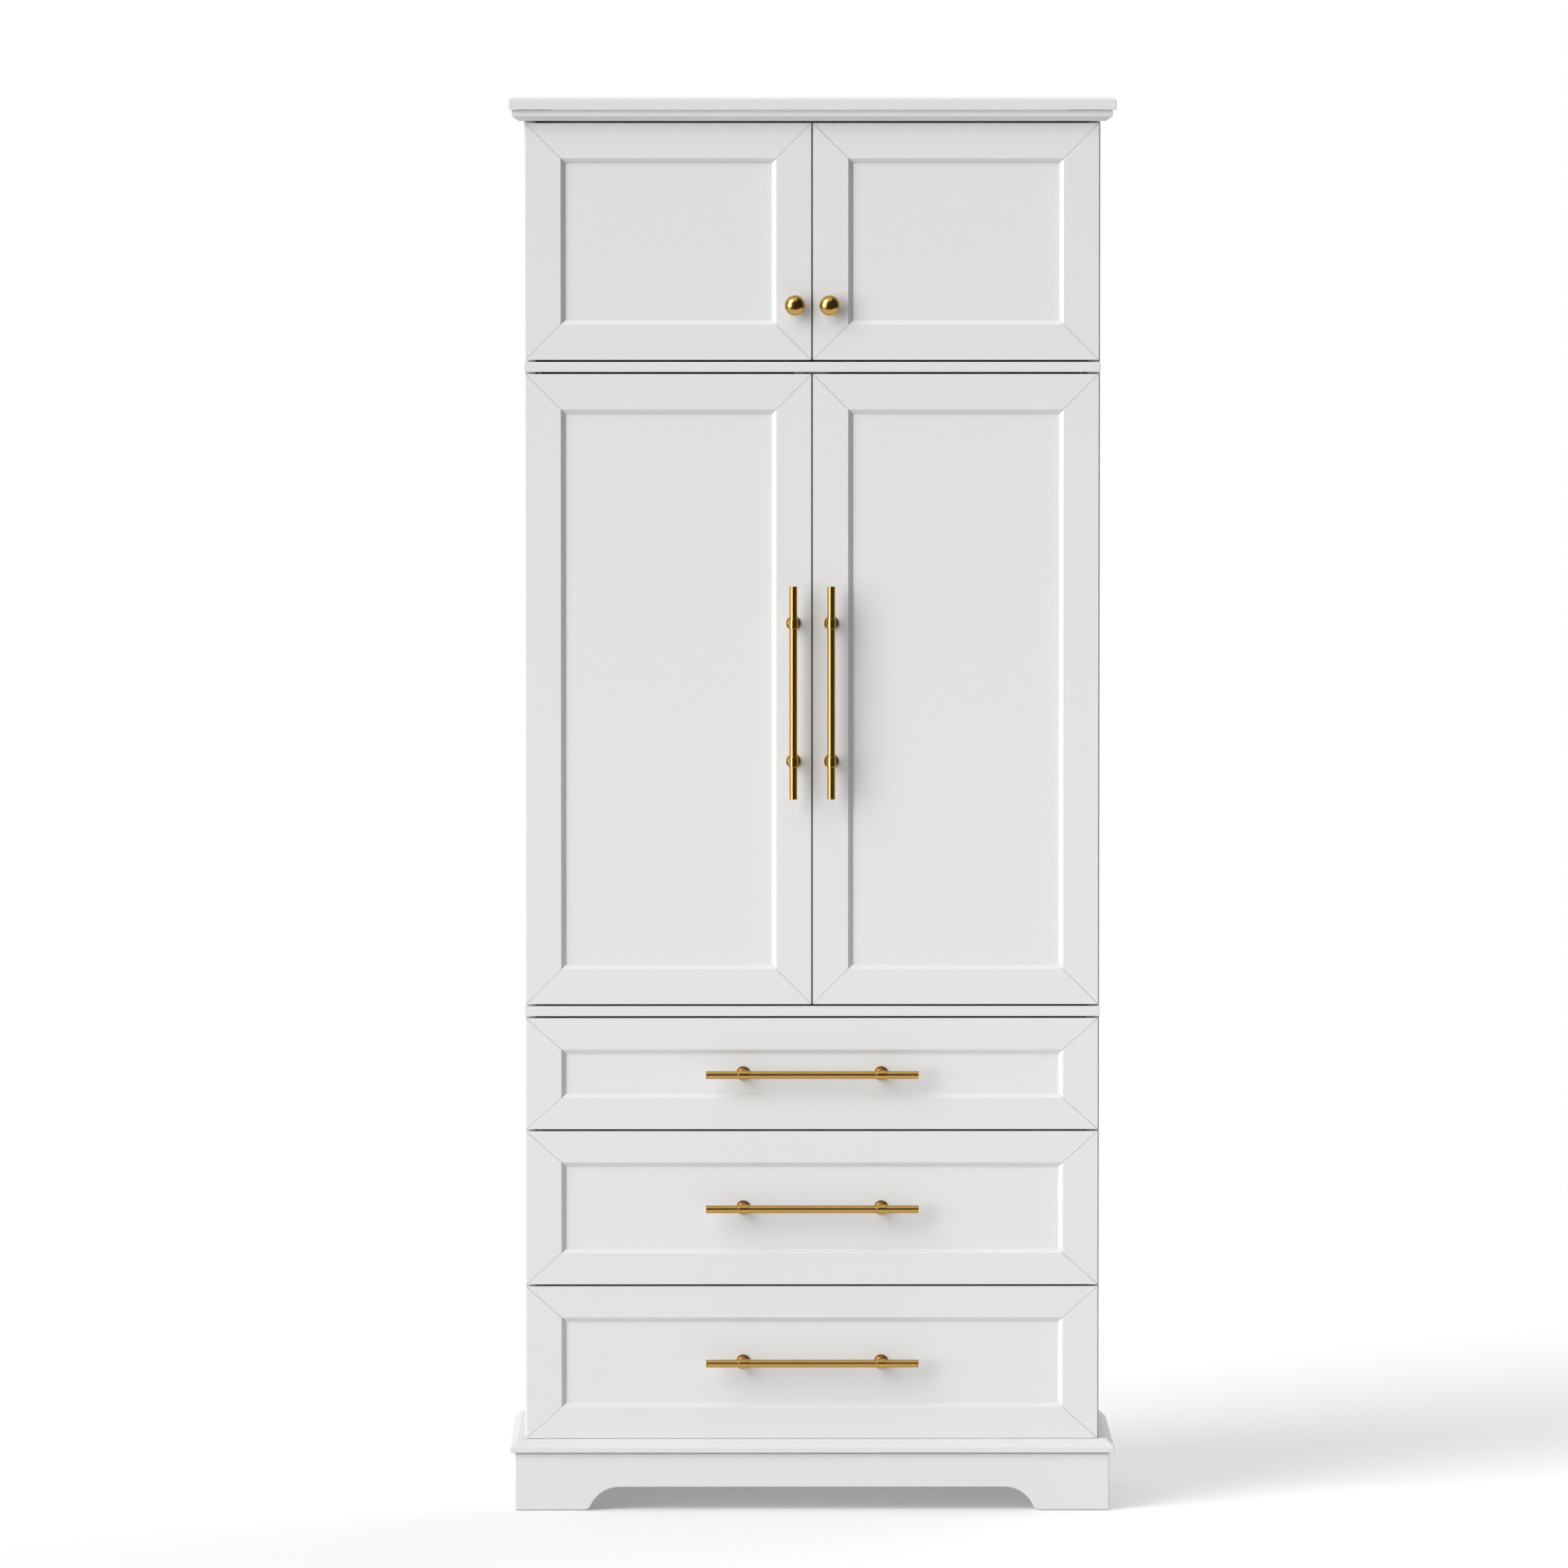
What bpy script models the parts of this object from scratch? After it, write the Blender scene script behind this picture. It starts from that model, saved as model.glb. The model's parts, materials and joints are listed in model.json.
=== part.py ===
"""Tall armoire: two upper doors, two tall doors and three drawers on a bracket-foot plinth.

Metres, +Z up, the front faces -Y. X = 0 is the plane of symmetry, Z = 0 is the floor, and
Y = 0 is half way between the back and the tips of the door pulls.
"""
import math

import bmesh
import bpy
from mathutils import Matrix, Vector

# ---------------------------------------------------------------- overall sizes
BODY_WIDTH = 0.800        # over the side panels
BASE_DEPTH = 0.400        # base board, from its front lip to the back
OVERHANG = 0.021          # base board and top board beyond the body, at the front and the sides
FIT = 0.0003              # gap between pieces that touch
OVERCUT = 0.001           # how far a cutter runs past the face that it opens

# ---------------------------------------------------------------- heights, from the floor up
PLINTH_HEIGHT = 0.0815
BASE_THICKNESS = 0.018
LEDGE_GAP = 0.0015        # between the base board and the bottom drawer
BOTTOM_DRAWER_HEIGHT = 0.2115
MIDDLE_DRAWER_HEIGHT = 0.214
TOP_DRAWER_HEIGHT = 0.155
TALL_DOOR_HEIGHT = 0.8765
UPPER_DOOR_HEIGHT = 0.3284
REVEAL_GAP = 0.0028       # between one front and the next, up the face
SHELF_THICKNESS = 0.014
CORNICE_SLOPE = 0.0065    # height of the moulding's sloping underside
CORNICE_FACE = 0.0088     # height of the moulding's upright face
TOP_THICKNESS = 0.0167

# ---------------------------------------------------------------- boards
SIDE_THICKNESS = 0.016
BACK_THICKNESS = 0.005
PLINTH_THICKNESS = 0.016
PLINTH_INSET = 0.007      # behind the base board's lip
MOULDING_INSET = 0.005    # behind the top board's edge
MOULDING_STRIP = 0.050    # width of the moulding's strips, seen from below
SLOPE_RUN = 0.009         # how far the moulding's underside slopes in
TOP_CHAMFER_RUN = 0.005
TOP_CHAMFER_DROP = 0.0025
LIP_CHAMFER_RUN = 0.0104
LIP_CHAMFER_DROP = 0.0095
ARRIS = 0.0008            # eased edge of a board
FOOT_WIDTH = 0.096        # of a bracket foot, along the floor
ARCH_HEIGHT = 0.033
ARCH_RUN = 0.050          # length of the S-curve from a foot to the straight top
ARCH_TOE_SHARE = 0.2      # share of the S-curve's radius that its lower, convex arc has
ARC_STEPS = 5            # in the arch's S-curve

# ---------------------------------------------------------------- doors and drawer fronts
DOOR_THICKNESS = 0.018
DOOR_GAP = 0.002          # between the carcass's front edges and the backs of the doors
SIDE_REVEAL = 0.002       # side panel's edge that shows beside a door
MEETING_GAP = 0.002       # between a left door and its right neighbour
STILE_WIDTH = 0.049
DOOR_RAIL_WIDTH = 0.049
DRAWER_RAIL_WIDTH = 0.0435
STICKING_WIDTH = 0.0057   # bevel round a panel, seen from the front
STICKING_DEPTH = 0.005
PANEL_RECESS = 0.0058     # from the face to the shoulder that the panel meets
PANEL_THICKNESS = 0.006
REBATE = 0.008            # how far a panel tucks in behind the frame's sight edge

# ---------------------------------------------------------------- cup hinges
HINGE_FROM_EDGE = 0.0055  # pivot, in from the door's outer edge
HINGE_DEPTH = 0.009       # pivot, forward of the door's back
HINGE_END = 0.075         # hinge centre, from the end of its door
CUP_RADIUS = STILE_WIDTH * 5 / 14
CUP_EDGE = 0.005          # wood left between the cup and the door's outer edge
CUP_INSET = CUP_EDGE + CUP_RADIUS
CUP_DEPTH = 0.0115
CUP_WALL = 0.002
WING_SIZE = (0.014, 0.0012, 0.054)
ARM_WIDTH = 0.0072
ARM_HEIGHT = 0.014
ARM_REACH = 0.005         # how far the arm's nose enters the cup
ARM_LENGTH = 0.060        # behind the carcass's front edge
PLATE_SIZE = (0.0025, 0.032, 0.044)
PLATE_SETBACK = 0.021     # plate's front edge behind the carcass's front edge

# ---------------------------------------------------------------- knobs and pulls
KNOB_RADIUS = 0.0143
KNOB_REACH = 0.026
KNOB_INSET = 0.0241       # knob centre, from X = 0
KNOB_HEIGHT = 0.0758      # knob centre, above the bottom of its door
KNOB_DOME_FOOT = 0.62     # where the head's dome starts, as a share of the reach
KNOB_TURNING = [          # (share of the radius, share of the reach), from the head down to the foot
    (0.94, 0.54),
    (0.60, 0.46),
    (0.38, 0.34),
    (0.38, 0.16),
    (0.55, 0.06),
]
PULL_LENGTH = 0.296
PULL_SPACING = 0.192      # between the two posts
PULL_BAR_RADIUS = 0.0055
PULL_POST_RADIUS = 0.007
PULL_STANDOFF = 0.029     # bar's centre line from the face it is on
ROSETTE_RADIUS = 0.010
ROSETTE_THICKNESS = 0.0035
PULL_INSET = 0.0263       # door pull's centre line, from X = 0
PULL_DROP = 0.0035        # door pull's centre below the middle of its door
TURNED_STEPS = 16
KNOB_STEPS = 20
DOME_STEPS = 4

# ---------------------------------------------------------------- drawers and runners
BOX_WALL = 0.012
BOX_BOTTOM = 0.006
BOX_BOTTOM_RECESS = 0.008  # bottom board above the lower edge of the sides
BOX_REAR_GAP = 0.0257     # between a box and the back panel
BOX_LIFT = 0.020          # box above the bottom edge of its front
SHALLOW_BOX_HEIGHT = 0.100
DEEP_BOX_HEIGHT = 0.150
RUNNER_SPACE = 0.0127     # between a box and a side panel
RUNNER_WIDTH = 0.0100
RUNNER_HEIGHT = 0.030
RUNNER_SHEET = 0.0015
RUNNER_SETBACK = 0.003
RUNNER_SHORTFALL = 0.030  # how much shorter a runner is than its box

# ---------------------------------------------------------------- hanging rod
ROD_RADIUS = 0.0125
ROD_WALL = 0.0015
ROD_DROP = 0.055          # rod's centre below the shelf above it
SOCKET_DEPTH = 0.012
SOCKET_BASE = 0.002
SOCKET_WALL = 0.0025
SOCKET_FLANGE_RADIUS = 0.022

# ---------------------------------------------------------------- places that follow
PULL_REACH = PULL_STANDOFF + PULL_POST_RADIUS
FACE_TO_BACK = BASE_DEPTH - OVERHANG
Y_BACK = (FACE_TO_BACK + PULL_REACH) / 2
Y_FACE = Y_BACK - FACE_TO_BACK
Y_DOOR_BACK = Y_FACE + DOOR_THICKNESS
Y_CARCASS = Y_DOOR_BACK + DOOR_GAP
Y_LIP = Y_FACE - OVERHANG
Y_BACK_PANEL = Y_BACK - BACK_THICKNESS

BOX_LENGTH = Y_BACK_PANEL - BOX_REAR_GAP - Y_DOOR_BACK - FIT
RUNNER_LENGTH = BOX_LENGTH - RUNNER_SHORTFALL

X_BODY = BODY_WIDTH / 2
X_INNER = X_BODY - SIDE_THICKNESS
X_LIP = X_BODY + OVERHANG
X_FRONT = X_BODY - SIDE_REVEAL

Z_BASE = PLINTH_HEIGHT + BASE_THICKNESS
Z_BOTTOM_DRAWER = Z_BASE + LEDGE_GAP
Z_MIDDLE_DRAWER = Z_BOTTOM_DRAWER + BOTTOM_DRAWER_HEIGHT + REVEAL_GAP
Z_TOP_DRAWER = Z_MIDDLE_DRAWER + MIDDLE_DRAWER_HEIGHT + REVEAL_GAP
Z_LOWER_SHELF = Z_TOP_DRAWER + TOP_DRAWER_HEIGHT + REVEAL_GAP
Z_TALL_DOOR = Z_LOWER_SHELF + SHELF_THICKNESS + REVEAL_GAP
Z_UPPER_SHELF = Z_TALL_DOOR + TALL_DOOR_HEIGHT + REVEAL_GAP
Z_UPPER_DOOR = Z_UPPER_SHELF + SHELF_THICKNESS + REVEAL_GAP
Z_CORNICE = Z_UPPER_DOOR + UPPER_DOOR_HEIGHT + REVEAL_GAP
Z_TOP_BOARD = Z_CORNICE + CORNICE_SLOPE + CORNICE_FACE
Z_TOP = Z_TOP_BOARD + TOP_THICKNESS

SIDES = {"left": -1, "right": 1}
TO_FRONT = (math.pi / 2, 0, 0)    # turns an object's own +Z to the front, -Y
TO_BACK = (-math.pi / 2, 0, 0)    # turns an object's own +Z to the back, +Y

for leftover in list(bpy.data.objects):
    bpy.data.objects.remove(leftover)

PARTS = bpy.data.collections.new("armoire")
CUTTERS = bpy.data.collections.new("armoire_cutters")
bpy.context.scene.collection.children.link(PARTS)
bpy.context.scene.collection.children.link(CUTTERS)


# ---------------------------------------------------------------- materials
def material(name, colour, roughness, metallic=0.0):
    """A plain Principled material."""
    made = bpy.data.materials.new(name)
    made.use_nodes = True
    shader = made.node_tree.nodes["Principled BSDF"]
    shader.inputs["Base Color"].default_value = (*colour, 1.0)
    shader.inputs["Roughness"].default_value = roughness
    shader.inputs["Metallic"].default_value = metallic
    return made


WHITE_PAINT = material("white_paint", (0.80, 0.80, 0.79), 0.45)
WHITE_BOARD = material("white_board", (0.78, 0.78, 0.77), 0.55)
BACK_BOARD = material("back_board", (0.74, 0.74, 0.72), 0.65)
BRASS = material("brass", (0.72, 0.48, 0.18), 0.25, 1.0)
STEEL = material("steel", (0.62, 0.62, 0.62), 0.35, 1.0)


# ---------------------------------------------------------------- making and joining solids
def add(name, data, look):
    """Puts an object in the model, or among the cutters if it has no look."""
    made = bpy.data.objects.new(name, data)
    if look is None:
        CUTTERS.objects.link(made)
        made.hide_render = True
        made.display_type = "WIRE"
    else:
        PARTS.objects.link(made)
        data.materials.append(look)
    return made


def mesh_from(name, bm):
    """Turns a bmesh into mesh data with its faces pointing out."""
    bmesh.ops.recalc_face_normals(bm, faces=bm.faces)
    data = bpy.data.meshes.new(name)
    bm.to_mesh(data)
    bm.free()
    return data


def stepped_block(name, axis, rings, look=None):
    """A block whose rectangular section changes along one axis.

    Each ring is (place along the axis, (low, high), (low, high)) over the other two axes.
    """
    across = [other for other in range(3) if other != axis]
    last = len(rings) - 1
    bm = bmesh.new()
    bmesh.ops.create_cube(bm, size=1.0)
    for step in range(1, last):
        cut_at = Vector((0, 0, 0))
        cut_at[axis] = step / last - 0.5
        normal = Vector((0, 0, 0))
        normal[axis] = 1.0
        everything = bm.verts[:] + bm.edges[:] + bm.faces[:]
        bmesh.ops.bisect_plane(bm, geom=everything, plane_co=cut_at, plane_no=normal)
    for vert in bm.verts:
        place, *spans = rings[round((vert.co[axis] + 0.5) * last)]
        for other, span in zip(across, spans):
            vert.co[other] = span[vert.co[other] > 0]
        vert.co[axis] = place
    low = Vector([min(vert.co[i] for vert in bm.verts) for i in range(3)])
    high = Vector([max(vert.co[i] for vert in bm.verts) for i in range(3)])
    centre = (low + high) / 2
    bmesh.ops.translate(bm, verts=bm.verts, vec=-centre)
    made = add(name, mesh_from(name, bm), look)
    made.location = centre
    return made


def block(name, x, y, z, look=None, eased=0.0):
    """A plain board or cutter between two places on each axis."""
    made = stepped_block(name, 2, [(z[0], x, y), (z[1], x, y)], look)
    if eased:
        ease(made, eased)
    return made


def ease(piece, width):
    """Takes the sharp edge off a board."""
    bevel = piece.modifiers.new("arris", "BEVEL")
    bevel.width = width
    bevel.segments = 1
    bevel.limit_method = "ANGLE"


def turned(name, profile, place, rotation, look=None, steps=TURNED_STEPS):
    """A turned shape: the profile's (radius, height) points run down its outer side."""
    data = bpy.data.meshes.new(name)
    points = [(radius, 0, height) for radius, height in profile]
    data.from_pydata(points, [(i, i + 1) for i in range(len(points) - 1)], [])
    made = add(name, data, look)
    made.location = place
    made.rotation_euler = rotation
    screw = made.modifiers.new("turning", "SCREW")
    screw.steps = steps
    screw.render_steps = steps
    screw.use_merge_vertices = True
    screw.merge_threshold = 0.00001
    screw.use_smooth_shade = True
    return made


def cylinder(name, radius, length, place, rotation, steps=TURNED_STEPS):
    """A round cutter that runs from its place along its own +Z."""
    profile = [(0, length), (radius, length), (radius, 0), (0, 0)]
    return turned(name, profile, place, rotation, None, steps)


def boolean(piece, tool, operation):
    """Cuts a tool from a piece, or joins it to the piece."""
    change = piece.modifiers.new(tool.name, "BOOLEAN")
    change.operation = operation
    change.object = tool


def extruded(name, outline, thickness, place, rotation, look):
    """A flat outline of (x, y) points, given thickness on both sides of its plane."""
    data = bpy.data.curves.new(name, "CURVE")
    data.dimensions = "2D"
    data.fill_mode = "BOTH"
    data.extrude = thickness / 2
    spline = data.splines.new("POLY")
    spline.points.add(len(outline) - 1)
    for point, (x, y) in zip(spline.points, outline):
        point.co = (x, y, 0, 1)
    spline.use_cyclic_u = True
    made = add(name, data, look)
    made.location = place
    made.rotation_euler = rotation
    return made


def pivot(name, place):
    """An empty that a moving group hangs on."""
    made = bpy.data.objects.new(name, None)
    made.location = place
    made.empty_display_size = 0.05
    PARTS.objects.link(made)
    return made


def attach(piece, parent):
    """Parents a piece to an empty and leaves it where it is."""
    piece.parent = parent
    piece.matrix_parent_inverse = Matrix.Translation(-parent.location)


def span(centre, size):
    """The two ends of a size set about a centre."""
    return (centre - size / 2, centre + size / 2)


def sided(side, low, high):
    """Two distances from X = 0 on one side, lower X first."""
    return tuple(sorted((side * low, side * high)))


# ---------------------------------------------------------------- plinth and base board
def arch_side():
    """(x, z) points of the S-curve from the right foot's inner toe up to the arch's top."""
    turn = 2 * math.atan(ARCH_HEIGHT / ARCH_RUN)
    both = ARCH_RUN / math.sin(turn)
    toe = both * ARCH_TOE_SHARE
    hollow = both - toe
    x_toe = X_LIP - PLINTH_INSET - FOOT_WIDTH
    x_top = x_toe - ARCH_RUN
    angles = [turn * step / ARC_STEPS for step in range(ARC_STEPS + 1)]
    lower = [(x_toe - toe * math.sin(a), toe * (1 - math.cos(a))) for a in angles]
    upper = [(x_top + hollow * math.sin(a), ARCH_HEIGHT - hollow * (1 - math.cos(a))) for a in angles]
    return lower + upper[-2::-1]


def make_plinth():
    """Four boards standing on the floor, the front one cut to an arch between bracket feet."""
    x_outer = X_LIP - PLINTH_INSET
    y_outer = Y_LIP + PLINTH_INSET
    height = PLINTH_HEIGHT - FIT
    right = [(x_outer, height), (x_outer, 0)] + arch_side()
    left = [(-x, z) for x, z in reversed(right)]
    extruded("plinth_front", right + left, PLINTH_THICKNESS,
             (0, y_outer + PLINTH_THICKNESS / 2, 0), TO_FRONT, WHITE_PAINT)
    y_behind = y_outer + PLINTH_THICKNESS + FIT
    for word, side in SIDES.items():
        x = sided(side, x_outer - PLINTH_THICKNESS, x_outer)
        block(f"plinth_{word}", x, (y_behind, Y_BACK), (0, height), WHITE_PAINT, ARRIS)
    x_rear = x_outer - PLINTH_THICKNESS - FIT
    block("plinth_rear", (-x_rear, x_rear), (Y_BACK - PLINTH_THICKNESS, Y_BACK),
          (0, height), WHITE_BOARD, ARRIS)


def make_base_board():
    """The board that the body stands on, with a chamfered lip at the front and the sides."""
    x_top = X_LIP - LIP_CHAMFER_RUN
    full = (-X_LIP, X_LIP), (Y_LIP, Y_BACK)
    stepped_block("base_board", 2, [
        (PLINTH_HEIGHT, *full),
        (Z_BASE - LIP_CHAMFER_DROP, *full),
        (Z_BASE, (-x_top, x_top), (Y_LIP + LIP_CHAMFER_RUN, Y_BACK)),
    ], WHITE_PAINT)


# ---------------------------------------------------------------- carcass
def make_sides_and_back():
    z = (Z_BASE + FIT, Z_CORNICE - FIT)
    for word, side in SIDES.items():
        block(f"side_panel_{word}", sided(side, X_INNER, X_BODY), (Y_CARCASS, Y_BACK), z,
              WHITE_PAINT, ARRIS)
    x_inside = X_INNER - FIT
    block("back_panel", (-x_inside, x_inside), (Y_BACK_PANEL, Y_BACK), z, BACK_BOARD)
    block("top_panel", (-x_inside, x_inside), (Y_CARCASS, Y_BACK_PANEL - FIT),
          (z[1] - SIDE_THICKNESS, z[1]), WHITE_BOARD, ARRIS)


def make_shelf(name, z_bottom):
    """A fixed shelf whose nosing runs out over the side panels, flush with the doors."""
    y_nosing = Y_CARCASS - FIT
    y_rear = Y_BACK_PANEL - FIT
    x_inside = X_INNER - FIT
    right = [(X_BODY, Y_FACE), (X_BODY, y_nosing), (x_inside, y_nosing), (x_inside, y_rear)]
    left = [(-x, y) for x, y in reversed(right)]
    extruded(name, right + left, SHELF_THICKNESS, (0, 0, z_bottom + SHELF_THICKNESS / 2),
             (0, 0, 0), WHITE_PAINT)


def make_cornice():
    """A moulding of three strips with a sloping underside, and the top board over it."""
    x_face = X_LIP - MOULDING_INSET
    y_face = Y_LIP + MOULDING_INSET
    x_foot = x_face - SLOPE_RUN
    full = (-x_face, x_face), (y_face, Y_BACK)
    moulding = stepped_block("cornice_moulding", 2, [
        (Z_CORNICE, (-x_foot, x_foot), (y_face + SLOPE_RUN, Y_BACK)),
        (Z_CORNICE + CORNICE_SLOPE, *full),
        (Z_TOP_BOARD - FIT, *full),
    ], WHITE_PAINT)
    x_hollow = x_face - MOULDING_STRIP
    hollow = block("moulding_hollow", (-x_hollow, x_hollow),
                   (y_face + MOULDING_STRIP, Y_BACK + OVERCUT),
                   (Z_CORNICE - OVERCUT, Z_TOP_BOARD + OVERCUT))
    boolean(moulding, hollow, "DIFFERENCE")
    edge = (-X_LIP, X_LIP), (Y_LIP, Y_BACK)
    x_flat = X_LIP - TOP_CHAMFER_RUN
    stepped_block("top_board", 2, [
        (Z_TOP_BOARD, *edge),
        (Z_TOP - TOP_CHAMFER_DROP, *edge),
        (Z_TOP, (-x_flat, x_flat), (Y_LIP + TOP_CHAMFER_RUN, Y_BACK)),
    ], WHITE_PAINT)


def make_hanging_rod():
    """A tube across the tall compartment, its ends in two turned sockets."""
    z = Z_UPPER_SHELF - ROD_DROP
    y = (Y_CARCASS + Y_BACK_PANEL) / 2
    x_end = X_INNER - FIT - SOCKET_BASE - FIT
    inner = ROD_RADIUS - ROD_WALL
    along_x = (0, math.pi / 2, 0)
    profile = [(inner, 0), (inner, 2 * x_end), (ROD_RADIUS, 2 * x_end), (ROD_RADIUS, 0), (inner, 0)]
    turned("hanging_rod", profile, (-x_end, y, z), along_x, STEEL)
    mouth = ROD_RADIUS + FIT
    outer = mouth + SOCKET_WALL
    profile = [(0, SOCKET_BASE), (mouth, SOCKET_BASE), (mouth, SOCKET_DEPTH), (outer, SOCKET_DEPTH),
               (outer, SOCKET_BASE), (SOCKET_FLANGE_RADIUS, SOCKET_BASE),
               (SOCKET_FLANGE_RADIUS, 0), (0, 0)]
    for word, side in SIDES.items():
        turned(f"rod_socket_{word}", profile, (side * (X_INNER - FIT), y, z),
               (0, -side * math.pi / 2, 0), STEEL)


# ---------------------------------------------------------------- brass knobs and pulls
def make_knob(name, x, z):
    """A mushroom knob: a foot, a waist and a domed head."""
    head_edge = KNOB_DOME_FOOT * KNOB_REACH
    dome = KNOB_REACH - head_edge
    arc = [math.radians(90 * step / DOME_STEPS) for step in range(DOME_STEPS + 1)]
    profile = [(KNOB_RADIUS * math.sin(a), head_edge + dome * math.cos(a)) for a in arc]
    profile += [(across * KNOB_RADIUS, up * KNOB_REACH) for across, up in KNOB_TURNING]
    profile += [(profile[-1][0], FIT), (0, FIT)]
    return turned(name, profile, (x, Y_FACE, z), TO_FRONT, BRASS, KNOB_STEPS)


def make_pull(name, x, y_face, z, upright):
    """A bar through the heads of two posts, each on a round rosette."""
    half = PULL_LENGTH / 2
    end = ARRIS
    profile = [(0, half), (PULL_BAR_RADIUS - end, half), (PULL_BAR_RADIUS, half - end),
               (PULL_BAR_RADIUS, end - half), (PULL_BAR_RADIUS - end, -half), (0, -half)]
    along = (0, 0, 0) if upright else (0, math.pi / 2, 0)
    bar = turned(name, profile, (x, y_face - PULL_STANDOFF, z), along, BRASS)
    arc = [math.radians(90 * step / DOME_STEPS) for step in range(DOME_STEPS)]
    post = [(PULL_POST_RADIUS * math.sin(a), PULL_STANDOFF + PULL_POST_RADIUS * math.cos(a))
            for a in arc]
    post += [
        (PULL_POST_RADIUS, PULL_STANDOFF),
        (PULL_POST_RADIUS, ROSETTE_THICKNESS),
        (ROSETTE_RADIUS - ARRIS, ROSETTE_THICKNESS),
        (ROSETTE_RADIUS, ROSETTE_THICKNESS - ARRIS),
        (ROSETTE_RADIUS, FIT),
        (0, FIT),
    ]
    for number, shift in enumerate(span(0, PULL_SPACING)):
        place = (x, y_face, z + shift) if upright else (x + shift, y_face, z)
        tool = turned(f"{name}_post_{number}", post, place, TO_FRONT)
        boolean(bar, tool, "UNION")
    return bar


# ---------------------------------------------------------------- doors
def sight_cutter(name, x, z, rail, depth):
    """The bevelled opening inside a frame's stiles and rails, from the face to a depth."""
    slope = STICKING_WIDTH / STICKING_DEPTH

    def ring(y, inset):
        return (y, (x[0] + STILE_WIDTH + inset, x[1] - STILE_WIDTH - inset),
                (z[0] + rail + inset, z[1] - rail - inset))

    return stepped_block(name, 1, [
        ring(Y_FACE - OVERCUT, -OVERCUT * slope),
        ring(Y_FACE + STICKING_DEPTH, STICKING_WIDTH),
        ring(Y_FACE + depth, STICKING_WIDTH),
    ])


def make_hinge(name, side, z, frame, swing):
    """A cup let into the door's back, and an arm on the side panel whose nose enters the cup."""
    x_cup = side * (X_FRONT - CUP_INSET)
    bore = cylinder(f"{name}_bore", CUP_RADIUS + FIT, CUP_DEPTH + FIT + OVERCUT,
                    (x_cup, Y_DOOR_BACK + OVERCUT, z), TO_FRONT)
    boolean(frame, bore, "DIFFERENCE")
    inner = CUP_RADIUS - CUP_WALL
    profile = [(0, CUP_WALL), (inner, CUP_WALL), (inner, CUP_DEPTH), (CUP_RADIUS, CUP_DEPTH),
               (CUP_RADIUS, 0), (0, 0)]
    cup = turned(f"hinge_cup_{name}", profile, (x_cup, Y_DOOR_BACK - CUP_DEPTH + FIT, z),
                 TO_BACK, STEEL)
    y_wing = Y_DOOR_BACK + FIT
    wing = block(f"{name}_wing", span(x_cup, WING_SIZE[0]), (y_wing - FIT / 2, y_wing + WING_SIZE[1]),
                 span(z, WING_SIZE[2]))
    mouth = cylinder(f"{name}_mouth", inner + CUP_WALL / 2, DOOR_THICKNESS,
                     (x_cup, Y_CARCASS + OVERCUT, z), TO_FRONT)
    boolean(wing, mouth, "DIFFERENCE")
    boolean(cup, wing, "UNION")
    attach(cup, swing)

    x_wall = X_INNER - FIT
    x_plate = x_wall - PLATE_SIZE[0]
    y_plate = Y_CARCASS + PLATE_SETBACK
    arm = block(f"hinge_arm_{name}", sided(side, x_plate - ARM_WIDTH, x_plate + FIT),
                (Y_DOOR_BACK - ARM_REACH, Y_CARCASS + ARM_LENGTH), span(z, ARM_HEIGHT), STEEL)
    plate = block(f"{name}_plate", sided(side, x_plate, x_wall), (y_plate, y_plate + PLATE_SIZE[1]),
                  span(z, PLATE_SIZE[2]))
    boolean(arm, plate, "UNION")


def make_door(row, word, z_bottom, height):
    """A framed door with a flat panel, hung on two cup hinges. Returns its empty."""
    side = SIDES[word]
    name = f"{row}_door_{word}"
    x = sided(side, MEETING_GAP / 2, X_FRONT)
    z = (z_bottom, z_bottom + height)
    swing = pivot(f"{name}_swing", Vector((side * (X_FRONT - HINGE_FROM_EDGE),
                                           Y_DOOR_BACK - HINGE_DEPTH, z_bottom)))
    frame = block(f"{name}_frame", x, (Y_FACE, Y_DOOR_BACK), z, WHITE_PAINT, ARRIS)
    y_shoulder = Y_FACE + PANEL_RECESS
    boolean(frame, sight_cutter(f"{name}_sight", x, z, DOOR_RAIL_WIDTH, PANEL_RECESS + OVERCUT),
            "DIFFERENCE")
    tuck = STICKING_WIDTH - REBATE
    x_seat = (x[0] + STILE_WIDTH + tuck, x[1] - STILE_WIDTH - tuck)
    z_seat = (z[0] + DOOR_RAIL_WIDTH + tuck, z[1] - DOOR_RAIL_WIDTH - tuck)
    boolean(frame, block(f"{name}_rebate", x_seat, (y_shoulder, Y_DOOR_BACK + OVERCUT), z_seat),
            "DIFFERENCE")
    y_panel = y_shoulder + FIT
    panel = block(f"{name}_panel", (x_seat[0] + FIT, x_seat[1] - FIT),
                  (y_panel, y_panel + PANEL_THICKNESS), (z_seat[0] + FIT, z_seat[1] - FIT),
                  WHITE_PAINT)
    for end, place in (("bottom", z[0] + HINGE_END), ("top", z[1] - HINGE_END)):
        make_hinge(f"{row}_{word}_{end}", side, place, frame, swing)
    attach(frame, swing)
    attach(panel, swing)
    return swing


# ---------------------------------------------------------------- drawers
def make_runner(name, side, z):
    """The cabinet half of a drawer runner, a C-channel that opens towards the drawer."""
    height = RUNNER_HEIGHT
    sheet = RUNNER_SHEET
    width = RUNNER_WIDTH
    outline = [(0, 0), (width, 0), (width, sheet), (sheet, sheet), (sheet, height - sheet),
               (width, height - sheet), (width, height), (0, height)]
    outline = [(-side * x, up) for x, up in outline]
    y_front = Y_CARCASS + RUNNER_SETBACK
    extruded(name, outline, RUNNER_LENGTH,
             (side * (X_INNER - FIT), y_front + RUNNER_LENGTH / 2, z), TO_FRONT, STEEL)


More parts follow.
